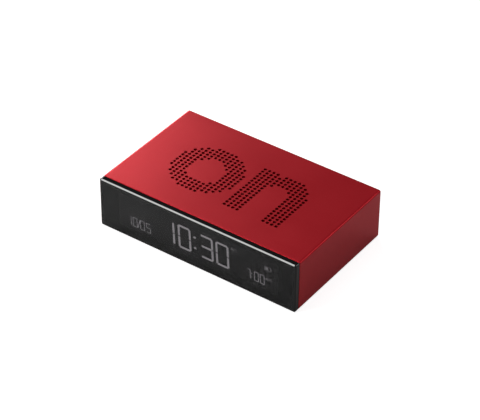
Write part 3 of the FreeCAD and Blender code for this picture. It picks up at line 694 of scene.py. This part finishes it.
# Grey insulation moulded over parallel wires, with one red edge
def ribbon_insulation():
    finish = Finish("ribbon_insulation", (0.50, 0.50, 0.51), 0.45)
    ribbon_low, ribbon_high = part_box("ribbon_cable")
    pitch = (ribbon_high.x - ribbon_low.x) / RIBBON_WIRES
    edge = calculate(finish.tree, "LESS_THAN", finish.axis("X"), ribbon_low.x + pitch)
    finish.layer(edge, (0.45, 0.02, 0.02))
    across = calculate(finish.tree, "SUBTRACT", finish.axis("X"), ribbon_low.x)
    turns = calculate(finish.tree, "MULTIPLY", across, math.pi / pitch)
    ridges = calculate(finish.tree, "ABSOLUTE", calculate(finish.tree, "SINE", turns))
    # Darker grey in the grooves between the wires is painted shade
    finish.layer(rescale(finish.tree, ridges, 0.3, 0.0), (0.2, 0.2, 0.2))
    finish.tone(0.5, 0.2, (0.4, 0.4, 0.4))
    finish.bump(ridges, 0.08)
    return finish.done()


# Mesh tools

# Says which body the piece moves with
def finish_piece(piece, body):
    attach(piece, body)


def new_piece(name, mesh):
    piece = bpy.data.objects.new(name, mesh)
    bpy.context.scene.collection.objects.link(piece)
    return piece


# Boxes of a node's separate solids
def solid_boxes(node):
    work = bmesh.new()
    work.from_mesh(nodes[node].data)
    bmesh.ops.remove_doubles(work, verts=work.verts, dist=1e-6)
    boxes = []
    left = set(work.verts)
    while left:
        found = [left.pop()]
        for vert in found:
            for edge in vert.link_edges:
                other = edge.other_vert(vert)
                if other in left:
                    left.remove(other)
                    found.append(other)
        places = [vert.co for vert in found]
        boxes.append((Vector([min(p[i] for p in places) for i in range(3)]),
                      Vector([max(p[i] for p in places) for i in range(3)])))
    work.free()
    return sorted(boxes, key=lambda box: (round(box[0].x, 5), round(box[0].z, 5)))


# Runs a geometry tree on a starting mesh and keeps the plain mesh that it makes
def grow(name, mesh, tree, inputs):
    piece = new_piece(name, mesh)
    modifier = piece.modifiers.new("grow", "NODES")
    modifier.node_group = tree
    for item in tree.interface.items_tree:
        if item.in_out == "INPUT" and item.name in inputs:
            modifier[item.identifier] = inputs[item.name]
    graph = bpy.context.evaluated_depsgraph_get()
    made = bpy.data.meshes.new_from_object(piece.evaluated_get(graph))
    piece.modifiers.remove(modifier)
    piece.data = made
    return piece


# Every tree starts from a mesh and ends in a material, and has sizes and counts of its own
def new_geometry_tree(name, sizes, counts=()):
    tree = bpy.data.node_groups.new(name, "GeometryNodeTree")
    tree.interface.new_socket("Start", in_out="INPUT", socket_type="NodeSocketGeometry")
    for label in sizes:
        tree.interface.new_socket(label, in_out="INPUT", socket_type="NodeSocketFloat")
    for label in counts:
        tree.interface.new_socket(label, in_out="INPUT", socket_type="NodeSocketInt")
    tree.interface.new_socket("Material", in_out="INPUT", socket_type="NodeSocketMaterial")
    tree.interface.new_socket("Result", in_out="OUTPUT", socket_type="NodeSocketGeometry")
    entry = tree.nodes.new("NodeGroupInput").outputs
    leave = tree.nodes.new("NodeGroupOutput").inputs
    return tree, entry, leave


def end_tree(tree, geometry, material, leave):
    real = add_node(tree, "GeometryNodeRealizeInstances", {"Geometry": geometry})
    painted = add_node(tree, "GeometryNodeSetMaterial",
                       {"Geometry": real.outputs[0], "Material": material})
    tree.links.new(painted.outputs[0], leave["Result"])


# Flat strokes along drawn lines in the XY plane, as wide as the attribute breadth says
def make_stroke_tree():
    tree, entry, leave = new_geometry_tree("flat_strokes", ("Width", "Thickness"))
    lines = add_node(tree, "GeometryNodeMeshToCurve", {"Mesh": entry["Start"]})
    upright = add_node(tree, "GeometryNodeSetCurveNormal", {"Curve": lines.outputs[0]})
    upright.mode = "Z_UP"
    breadth = add_node(tree, "GeometryNodeInputNamedAttribute", {"Name": "breadth"},
                       data_type="FLOAT")
    sized = add_node(tree, "GeometryNodeSetCurveRadius",
                     {"Curve": upright.outputs[0], "Radius": breadth.outputs[0]})
    section = add_node(tree, "GeometryNodeCurvePrimitiveQuadrilateral",
                       {"Width": entry["Width"], "Height": entry["Thickness"]})
    swept = add_node(tree, "GeometryNodeCurveToMesh",
                     {"Curve": sized.outputs[0], "Profile Curve": section.outputs[0],
                      "Fill Caps": True})
    end_tree(tree, swept.outputs[0], entry["Material"], leave)
    return tree


# A low dome of solder at each starting point
def make_dome_tree():
    tree, entry, leave = new_geometry_tree("low_domes", ("Radius", "Height"))
    ball = add_node(tree, "GeometryNodeMeshUVSphere", {"Segments": 12, "Rings": 8, "Radius": 1.0})
    squash = add_node(tree, "ShaderNodeCombineXYZ",
                      {"X": entry["Radius"], "Y": entry["Height"], "Z": entry["Radius"]})
    dome = add_node(tree, "GeometryNodeTransform",
                    {"Geometry": ball.outputs[0], "Scale": squash.outputs[0]})
    points = add_node(tree, "GeometryNodeMeshToPoints", {"Mesh": entry["Start"]})
    placed = add_node(tree, "GeometryNodeInstanceOnPoints",
                      {"Points": points.outputs[0], "Instance": dome.outputs[0]})
    end_tree(tree, placed.outputs[0], entry["Material"], leave)
    return tree


# White dots printed behind the light guide, which grow away from the lamps at its ends
def make_dot_tree():
    tree, entry, leave = new_geometry_tree(
        "printed_dots", ("Width", "Height", "Smallest", "Growth"), ("Columns", "Rows"))
    grid = add_node(tree, "GeometryNodeMeshGrid",
                    {"Size X": entry["Width"], "Size Y": entry["Height"],
                     "Vertices X": entry["Columns"], "Vertices Y": entry["Rows"]})
    place = add_node(tree, "GeometryNodeInputPosition")
    across = add_node(tree, "ShaderNodeSeparateXYZ", {"Vector": place.outputs[0]})
    offset = calculate(tree, "ABSOLUTE", across.outputs["X"])
    share = calculate(tree, "DIVIDE", offset, calculate(tree, "DIVIDE", entry["Width"], 2.0))
    inward = calculate(tree, "SUBTRACT", 1.0, share)
    size = calculate(tree, "ADD", entry["Smallest"],
                     calculate(tree, "MULTIPLY", inward, entry["Growth"]))
    points = add_node(tree, "GeometryNodeMeshToPoints", {"Mesh": grid.outputs[0]})
    dot = add_node(tree, "GeometryNodeMeshCylinder", {"Vertices": 8, "Radius": 1.0, "Depth": 0.08})
    placed = add_node(tree, "GeometryNodeInstanceOnPoints",
                      {"Points": points.outputs[0], "Instance": dot.outputs[0]})
    scaled = add_node(tree, "GeometryNodeScaleInstances",
                      {"Instances": placed.outputs[0], "Scale": size})
    end_tree(tree, scaled.outputs[0], entry["Material"], leave)
    return tree


# Drawn lines, in millimetres: each is a list of points (x, z) or (x, z, breadth)

def line_mesh(name, lines):
    points = []
    edges = []
    breadths = []
    for line in lines:
        first = len(points)
        for point in line:
            points.append((point[0] * MM, point[1] * MM, 0))
            breadths.append(point[2] if len(point) > 2 else 1.0)
        edges += [(first + step, first + step + 1) for step in range(len(line) - 1)]
    mesh = bpy.data.meshes.new(name)
    mesh.from_pydata(points, edges, [])
    attribute = mesh.attributes.new("breadth", "FLOAT", "POINT")
    attribute.data.foreach_set("value", breadths)
    return mesh


def arc_line(x, z, radius, start, end, steps):
    points = []
    for step in range(steps + 1):
        turn = math.radians(start + (end - start) * step / steps)
        points.append((x + radius * math.cos(turn), z + radius * math.sin(turn)))
    return points


def shifted(lines, x, z):
    return [[(point[0] + x, point[1] + z, *point[2:]) for point in line] for line in lines]


def close_mesh(mesh):
    work = bmesh.new()
    work.from_mesh(mesh)
    bmesh.ops.remove_doubles(work, verts=work.verts, dist=1e-7)
    bmesh.ops.recalc_face_normals(work, faces=work.faces)
    work.to_mesh(mesh)
    work.free()


# Strokes on a face that looks forwards (-1) or rearwards (1) along Y
def draw_strokes(name, lines, width, thickness, y, facing, material):
    inputs = {"Width": width * MM, "Thickness": thickness * MM, "Material": material}
    piece = grow(name, line_mesh(name, lines), stroke_tree, inputs)
    across = Vector((-facing, 0, 0))
    piece.data.transform(Matrix((across, (0, 0, 1), (0, facing, 0))).transposed().to_4x4())
    piece.data.transform(Matrix.Translation((0, y + facing * thickness * MM / 2, middle_z)))
    close_mesh(piece.data)
    return piece


# Display: seven-segment figures, small letters and a battery sign

BARS = {"0": "abcdef", "1": "bc", "3": "abcdg", "5": "acdfg", "7": "abc"}
LEAN = math.tan(math.radians(3.2))

# Shares of a bar's width: its gap at a corner and in the middle, its taper's length and its tip
CORNER_GAP = 0.1
MIDDLE_GAP = 0.25
TAPER = 0.4
TIP = 0.12

# The lens bends the light, so each bar is seen this much right of and above its place
VIEW_SHIFT_X = 1.07
VIEW_SHIFT_Z = 1.41

# Sizes of the figures, in millimetres, and the height above the underside where each row is seen
TIME_FIGURE = (7.1, 12.7)
TIME_BAR = 1.1
TIME_LEVEL = 13.85
SMALL_HEIGHT = 5.3
SMALL_ROOM = 0.5
SMALL_BAR = 0.38
MARK_BAR = 0.26
DATE_LEVEL = 10.1
ALARM_LEVEL = 10.5
INK_THICKNESS = 0.02

# How brightly each group of bars is lit
TIME_LIGHT = 2.0
DATE_LIGHT = 1.65
ALARM_LIGHT = 1.75
MARK_LIGHT = 1.35


def bar_line(name, width, height, stroke):
    right = (width - stroke) / 2
    top = (height - stroke) / 2
    ends = {"a": ((-right, top), (right, top)), "b": ((right, top), (right, 0)),
            "c": ((right, -top), (right, 0)), "d": ((-right, -top), (right, -top)),
            "e": ((-right, -top), (-right, 0)), "f": ((-right, top), (-right, 0)),
            "g": ((-right, 0), (right, 0))}
    start = Vector(ends[name][0])
    end = Vector(ends[name][1])
    way = (end - start).normalized() * stroke
    first_gap = MIDDLE_GAP if name == "g" else CORNER_GAP
    last_gap = CORNER_GAP if name in "ad" else MIDDLE_GAP
    points = [(start + way * first_gap, TIP), (start + way * (first_gap + TAPER), 1.0),
              (end - way * (last_gap + TAPER), 1.0), (end - way * last_gap, TIP)]
    return [(place.x, place.y, breadth) for place, breadth in points]


def leaned(lines):
    return [[(point[0] - point[1] * LEAN, *point[1:]) for point in line] for line in lines]


def figure(digit, x, z, width, height, stroke):
    lines = [bar_line(name, width, height, stroke) for name in BARS[digit]]
    return shifted(leaned(lines), x, z)


def colon(x, z, spread, dot):
    dots = [[(-dot / 2, spread), (dot / 2, spread)], [(-dot / 2, -spread), (dot / 2, -spread)]]
    return shifted(leaned(dots), x, z)


def seen_at(x, z):
    return x - VIEW_SHIFT_X, z - VIEW_SHIFT_Z - middle_z / MM


def time_lines():
    lines = []
    for digit, seen_x in (("1", -14.9), ("0", -5.9), ("3", 6.25), ("0", 14.75)):
        x, z = seen_at(seen_x, TIME_LEVEL)
        lines += figure(digit, x, z, *TIME_FIGURE, TIME_BAR)
    x, z = seen_at(-0.2, TIME_LEVEL)
    return lines + colon(x, z, 2.9, 1.25)


def small_figures(digits, z):
    lines = []
    for digit, seen_x, width in digits:
        x, centre = seen_at(seen_x, z)
        lines += figure(digit, x, centre, width, SMALL_HEIGHT, SMALL_ROOM)
    return lines


def date_lines():
    lines = small_figures((("1", -36.9, 2.7), ("0", -33.6, 2.7), ("0", -29.5, 2.7),
                           ("5", -26.1, 2.7)), DATE_LEVEL)
    x, z = seen_at(-31.45, DATE_LEVEL)
    return lines + shifted([[(-0.6, -2.4, 0.6), (0.6, 2.4, 0.6)]], x, z)


def alarm_lines():
    lines = small_figures((("7", 29.1, 1.9), ("0", 33.05, 2.6), ("0", 36.15, 2.6)), ALARM_LEVEL)
    x, z = seen_at(30.55, 10.2)
    return lines + colon(x, z, 1.0, 0.6)


def letters_am():
    return [[(0, 0), (0.55, 1.8), (1.1, 0)], [(0.25, 0.65), (0.85, 0.65)],
            [(1.65, 0), (1.65, 1.8), (2.25, 0.8), (2.85, 1.8), (2.85, 0)]]


def battery_sign():
    outline = [(0, 0), (0, 1.9), (3.2, 1.9), (3.2, 0), (0, 0)]
    bars = [[(0.55 + 0.28 * step, 0.3), (0.55 + 0.28 * step, 1.6)] for step in range(5)]
    return [outline, [(3.5, 0.55), (3.5, 1.35)]] + bars


def mark_lines():
    lines = []
    for seen_x, seen_z in ((19.3, 18.9), (38.0, 11.1)):
        x, z = seen_at(seen_x, seen_z)
        lines += shifted(letters_am(), x, z)
    x, z = seen_at(37.3, 16.7)
    return lines + shifted(battery_sign(), x, z)


def add_display():
    groups = (("display_time", time_lines(), TIME_BAR, TIME_LIGHT),
              ("display_date", date_lines(), SMALL_BAR, DATE_LIGHT),
              ("display_alarm_time", alarm_lines(), SMALL_BAR, ALARM_LIGHT),
              ("display_marks", mark_lines(), MARK_BAR, MARK_LIGHT))
    for name, lines, width, strength in groups:
        ink = segment_light("light_of_" + name, strength)
        piece = draw_strokes(name, lines, width, INK_THICKNESS, polariser_low.y, -1, ink)
        finish_piece(piece, BODY)


# Black ink printed round the window, on the back of the lens

LENS_CORNER = 0.97 * MM
WINDOW_CORNER = 0.8 * MM
MASK_INSET = 0.03 * MM
MASK_OVERLAP = 0.3 * MM
MASK_GAP = 0.001 * MM
MASK_THICKNESS = 0.012 * MM
CORNER_STEPS = 6


# Points round a rectangle with rounded corners, all at one Y
def rounded_loop(work, y, half_x, half_z, radius):
    loop = []
    for corner, (side, level) in enumerate(((1, 1), (-1, 1), (-1, -1), (1, -1))):
        for step in range(CORNER_STEPS + 1):
            turn = math.radians(90 * (corner + step / CORNER_STEPS))
            x = side * (half_x - radius) + radius * math.cos(turn)
            z = middle_z + level * (half_z - radius) + radius * math.sin(turn)
            loop.append(work.verts.new((x, y, z)))
    return loop


def add_lens_mask():
    outer = (lens_high.x - MASK_INSET, lens_high.z - middle_z - MASK_INSET, LENS_CORNER)
    inner = (polariser_high.x - MASK_OVERLAP, polariser_high.z - middle_z - MASK_OVERLAP,
             WINDOW_CORNER)
    front = lens_high.y + MASK_GAP
    back = front + MASK_THICKNESS
    work = bmesh.new()
    loops = [rounded_loop(work, y, *shape) for y, shape in ((front, outer), (front, inner),
                                                            (back, inner), (back, outer))]
    for first, second in zip(loops, loops[1:] + loops[:1]):
        for index in range(len(first)):
            after = (index + 1) % len(first)
            work.faces.new((first[index], first[after], second[after], second[index]))
    bmesh.ops.recalc_face_normals(work, faces=work.faces)
    mesh = bpy.data.meshes.new("lens_mask")
    work.to_mesh(mesh)
    work.free()
    mesh.materials.append(mask_ink())
    finish_piece(new_piece("lens_mask", mesh), BODY)


# Signs on the rear panel, one above each button, and an arrow on the battery door

# How far the signs stand above the buttons, and their strokes, in millimetres
SIGN_LIFT = 5.6
SIGN_WIDTH = 0.26
SIGN_THICKNESS = 0.03
ARROW_INSET = 11.0
ARROW_WIDTH = 0.3
ARROW_THICKNESS = 0.12


def clock_sign():
    return [arc_line(0, 0, 1.15, 0, 360, 28), [(0, 0.75), (0, 0), (0.5, -0.3)]]


def bell_sign():
    dome = arc_line(0, 0.15, 0.8, 0, 180, 14)
    outline = [(1.2, -0.85), (0.85, -0.45)] + dome + [(-0.85, -0.45), (-1.2, -0.85), (1.2, -0.85)]
    clapper = arc_line(0, -0.95, 0.32, 200, 340, 8)
    return [outline, clapper, [(0, 0.95), (0, 1.2)]]


def chevron_sign(way):
    return [[(-0.9, -0.4 * way), (0, 0.5 * way), (0.9, -0.4 * way)]]


def lamp_sign():
    rays = []
    for step in range(8):
        turn = math.radians(45 * step)
        rays.append([(0.85 * math.cos(turn), 0.85 * math.sin(turn)),
                     (1.25 * math.cos(turn), 1.25 * math.sin(turn))])
    return [arc_line(0, 0, 0.5, 0, 360, 20)] + rays


def add_key_signs():
    ink = symbol_ink()
    signs = {"time": clock_sign(), "alarm": bell_sign(), "up": chevron_sign(1),
             "down": chevron_sign(-1), "light": lamp_sign()}
    for key in KEYS:
        key_low, key_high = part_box("button_" + key)
        x = -(key_low.x + key_high.x) / 2 / MM
        lines = shifted(signs[key], x, SIGN_LIFT)
        piece = draw_strokes("sign_" + key, lines, SIGN_WIDTH, SIGN_THICKNESS, panel_rear, 1, ink)
        finish_piece(piece, BODY)


def add_door_arrow():
    x = -door_side / MM - ARROW_INSET
    lines = [[(x, -1.6), (x + 1.8, 0), (x, 1.6), (x, -1.6)]]
    plastic = nodes[DOOR].data.materials[0]
    piece = draw_strokes("door_arrow", lines, ARROW_WIDTH, ARROW_THICKNESS, panel_rear, 1, plastic)
    finish_piece(piece, DOOR)


# How far a cell's plus and minus lie from its ends, their arms and their strokes, in millimetres
PLUS_INSET = 7.5
MINUS_INSET = 5.0
ARM = 1.3
CELL_SIGN_WIDTH = 0.6


# Signs wrapped round each cell near its ends
def add_cell_signs(node, tip_side):
    cell_low, cell_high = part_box(node)
    radius = (cell_high.z - cell_low.z) / 2
    centre_y = (cell_high.y + cell_low.y) / 2
    centre_z = (cell_high.z + cell_low.z) / 2
    tip = cell_high.x if tip_side > 0 else cell_low.x
    root = cell_low.x if tip_side > 0 else cell_high.x
    plus_x = -tip / MM + tip_side * PLUS_INSET
    minus_x = -root / MM - tip_side * MINUS_INSET
    crossing = CELL_SIGN_WIDTH / 2
    lines = [[(plus_x - ARM, 0), (plus_x + ARM, 0)], [(plus_x, -ARM), (plus_x, -crossing)],
             [(plus_x, crossing), (plus_x, ARM)], [(minus_x - ARM, 0), (minus_x + ARM, 0)]]
    piece = draw_strokes("signs_" + node, lines, CELL_SIGN_WIDTH, SIGN_THICKNESS, 0, 1,
                         symbol_material)
    for vert in piece.data.vertices:
        turn = (vert.co.z - middle_z) / radius
        reach = radius + vert.co.y
        vert.co.y = centre_y + reach * math.cos(turn)
        vert.co.z = centre_z + reach * math.sin(turn)
    finish_piece(piece, BODY)


# Details of the inside

def point_mesh(name, places):
    mesh = bpy.data.meshes.new(name)
    mesh.from_pydata(places, [], [])
    return mesh


def middle_of(box):
    return (box[0] + box[1]) / 2


# How near the board a lead's point touches it, and how far one joint's points spread
TOUCH = 0.01 * MM
JOINT_SPREAD = 1.3 * MM
DOME_RADIUS = 0.75 * MM
DOME_HEIGHT = 0.32 * MM


def add_board_solder(material):
    places = []
    for node in ("tilt_switch_pins", "piezo_lead_red", "piezo_lead_black", "battery_lead_red",
                 "battery_lead_black", "touch_lead", "clock_crystal"):
        for vert in nodes[node].data.vertices:
            if vert.co.y < board_rear + TOUCH:
                places.append(vert.co.copy())
    groups = []
    for place in places:
        near = [group for group in groups if (group[0] - place).length < JOINT_SPREAD]
        if near:
            near[0].append(place)
        else:
            groups.append([place])
    centres = [sum(group, Vector()) / len(group) for group in groups]
    piece = grow("board_solder", point_mesh("board_solder", centres), dome_tree,
                 {"Radius": DOME_RADIUS, "Height": DOME_HEIGHT, "Material": material})
    finish_piece(piece, BODY)


# A metal end's half length and its place in from the chip's end, as shares of the chip's length
END_HALF = 0.14
END_INSET = 0.1
END_PROUD = 0.02 * MM
END_ROUNDING = 0.03 * MM


def add_chip_ends(material):
    work = bmesh.new()
    for box_low, box_high in solid_boxes("chip_parts"):
        size = box_high - box_low
        centre = middle_of((box_low, box_high))
        along = 0 if size.x > size.z else 2
        for side in (-1, 1):
            half = size / 2 + Vector((END_PROUD, END_PROUD, END_PROUD))
            half[along] = size[along] * END_HALF
            place = centre.copy()
            place[along] += side * size[along] * (0.5 - END_INSET)
            corners = bmesh.ops.create_cube(work, size=2.0)["verts"]
            bmesh.ops.scale(work, vec=half, verts=corners)
            bmesh.ops.translate(work, vec=place, verts=corners)
    bmesh.ops.bevel(work, geom=work.edges, offset=END_ROUNDING, segments=2, affect="EDGES")
    mesh = bpy.data.meshes.new("chip_ends")
    work.to_mesh(mesh)
    work.free()
    mesh.materials.append(material)
    finish_piece(new_piece("chip_ends", mesh), BODY)


# Rows and columns of dots, the bare margins round them, and their smallest radius and its growth
DOT_ROWS = 7
DOT_COLUMNS = 41
DOT_MARGIN_X = 2 * MM
DOT_MARGIN_Z = 1.5 * MM
DOT_SMALLEST = 0.25 * MM
DOT_GROWTH = 0.4 * MM
DOT_LIFT = 0.03 * MM


def add_guide_dots():
    guide_low, guide_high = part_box("light_guide")
    inputs = {"Width": guide_high.x - guide_low.x - 2 * DOT_MARGIN_X,
              "Height": guide_high.z - guide_low.z - 2 * DOT_MARGIN_Z, "Columns": DOT_COLUMNS,
              "Rows": DOT_ROWS, "Smallest": DOT_SMALLEST, "Growth": DOT_GROWTH,
              "Material": reflector_film()}
    piece = grow("guide_dots", point_mesh("guide_dots", [(0, 0, 0)]), dot_tree, inputs)
    piece.data.transform(Matrix.Rotation(math.radians(90), 4, "X"))
    piece.data.transform(Matrix.Translation((0, guide_high.y + DOT_LIFT, middle_z)))
    finish_piece(piece, BODY)


# Stage: floor, lamps and surroundings

FLOOR_HALF = 3.0
FLOOR_GAP = 0.2 * MM

# White that the camera sees besides the lit floor, and the share of it in gloss and glass
FLOOR_FILL = 0.85
FLOOR_GLOSSY_FILL = 0.06
WORLD_GLOSSY_FILL = 0.08

# Plain light from all round
WORLD_LEVEL = 0.05


# How much extra white a ray sees: all of it from the camera, less of it in gloss and glass
def white_share(tree, camera_share, glossy_share):
    rays = add_node(tree, "ShaderNodeLightPath").outputs
    other = calculate(tree, "MAXIMUM", rays["Is Glossy Ray"], rays["Is Transmission Ray"])
    return calculate(tree, "ADD", calculate(tree, "MULTIPLY", rays["Is Camera Ray"], camera_share),
                     calculate(tree, "MULTIPLY", other, glossy_share))


def floor_paper():
    finish = Finish("floor_paper", (0.60, 0.60, 0.60), 0.85)
    finish.tone(40.0, 0.2, (0.58, 0.58, 0.58))
    finish.shader.inputs["Specular IOR Level"].default_value = 0.2
    finish.shader.inputs["Emission Color"].default_value = (1, 1, 1, 1)
    share = white_share(finish.tree, FLOOR_FILL, FLOOR_GLOSSY_FILL)
    finish.tree.links.new(share, finish.shader.inputs["Emission Strength"])
    return finish.done()


def add_floor():
    mesh = bpy.data.meshes.new("floor")
    half = FLOOR_HALF
    mesh.from_pydata([(-half, -half, 0), (half, -half, 0), (half, half, 0), (-half, half, 0)], [],
                     [(0, 1, 2, 3)])
    mesh.transform(Matrix.Translation((0, 0, low.z - FLOOR_GAP)))
    mesh.materials.append(floor_paper())
    new_piece("floor", mesh)


def add_lamp(name, place, size, power, in_gloss=True):
    data = bpy.data.lights.new(name, "AREA")
    data.shape = "RECTANGLE"
    data.size, data.size_y = size
    data.energy = power
    lamp = bpy.data.objects.new(name, data)
    bpy.context.scene.collection.objects.link(lamp)
    lamp.visible_glossy = in_gloss
    lamp.location = place
    lamp.rotation_mode = "QUATERNION"
    aim = Vector((0, 0, middle_z))
    lamp.rotation_quaternion = (Vector(place) - aim).to_track_quat("Z", "Y")


def set_world():
    world = bpy.data.worlds.new("studio")
    bpy.context.scene.world = world
    world.use_nodes = True
    tree = world.node_tree
    background = tree.nodes["Background"]
    background.inputs["Color"].default_value = (1, 1, 1, 1)
    share = white_share(tree, 1.0 - WORLD_LEVEL, WORLD_GLOSSY_FILL)
    tree.links.new(calculate(tree, "ADD", share, WORLD_LEVEL), background.inputs["Strength"])


def add_lamps():
    add_lamp("key_lamp", (-0.40, -0.53, 0.565), (0.3, 0.22), 2.84)
    add_lamp("sheen_lamp", (-0.70, 0.656, 0.464), (0.134, 0.134), 1.44)
    add_lamp("left_lamp", (-0.75, 0.25, 0.25), (0.2, 0.2), 1.82)
    add_lamp("edge_lamp", (0.55, 0.55, 0.45), (0.2, 0.2), 0.58)
    add_lamp("overhead_lamp", (-0.10, 0.0, 1.0), (0.8, 0.8), 2.3)
    add_lamp("rear_lamp", (0.10, 0.90, 0.20), (0.5, 0.3), 1.2, in_gloss=False)


add_camera()
add_floor()
add_lamps()
set_world()
bpy.context.scene.view_settings.view_transform = "Standard"


# Finishes on the carried-over pieces

def paint(material, *names):
    for name in names:
        mesh = nodes[name].data
        mesh.materials.clear()
        mesh.materials.append(material)


def paint_all():
    paint(red_lacquer(), "housing_sleeve")
    paint(red_moulding(), "rear_panel", "battery_door")
    paint(smoked_lens(), "front_lens")
    paint(foam_tape(), "lens_tape")
    paint(black_moulding(), "chassis")
    paint(display_glass(), "lcd_front_glass", "lcd_rear_glass")
    paint(polariser_film(), "front_polariser", "rear_polariser")
    paint(diffuser_film(), "diffuser_sheet")
    paint(guide_acrylic(), "light_guide")
    paint(reflector_film(), "reflector_sheet")
    paint(led_body(), "backlight_leds")
    paint(zebra_rubber(), "zebra_strip_upper", "zebra_strip_lower")
    paint(board_laminate(), "main_board", "key_board")
    paint(potting_epoxy(), "controller_blob")
    paint(nickel_plate(), "clock_crystal", "tilt_switch_can", "tilt_switch_pins", "positive_plate",
          "negative_plate", "link_plate", "negative_spring", "link_spring")
    paint(capacitor_sleeve(), "bulk_capacitor")
    paint(chip_ceramic(), "chip_parts")
    paint(zinc_steel(), "board_screws", "key_board_screws", "rear_panel_screws")
    paint(switch_plastic(), "tilt_switch_base", "switch_bases")
    paint(polished_ball(), "tilt_switch_ball")
    paint(sounder_brass(), "piezo_disc")
    paint(silvered_ceramic(), "piezo_ceramic")
    paint(lead_insulation("red_insulation", (0.50, 0.012, 0.012), (0.38, 0.01, 0.01)),
          "piezo_lead_red", "battery_lead_red")
    paint(lead_insulation("black_insulation", (0.018, 0.018, 0.018), (0.03, 0.03, 0.03)),
          "piezo_lead_black", "battery_lead_black")
    paint(acoustic_cloth(), "top_dust_cloth", "bottom_dust_cloth")
    paint(copper_foil(), "touch_foil", "touch_lead")
    paint(cell_jacket("battery_cell_upper", -1), "battery_cell_upper")
    paint(cell_jacket("battery_cell_lower", 1), "battery_cell_lower")
    paint(button_plastic(), *["button_" + key for key in KEYS])
    paint(plunger_plastic(), *["plunger_" + key for key in KEYS])
    paint(ribbon_insulation(), "ribbon_cable")


paint_all()
stroke_tree = make_stroke_tree()
dome_tree = make_dome_tree()
dot_tree = make_dot_tree()
symbol_material = symbol_ink()
solder_material = solder()
add_display()
add_lens_mask()
add_key_signs()
add_door_arrow()
add_cell_signs("battery_cell_upper", -1)
add_cell_signs("battery_cell_lower", 1)
add_board_solder(solder_material)
add_chip_ends(solder_material)
add_guide_dots()
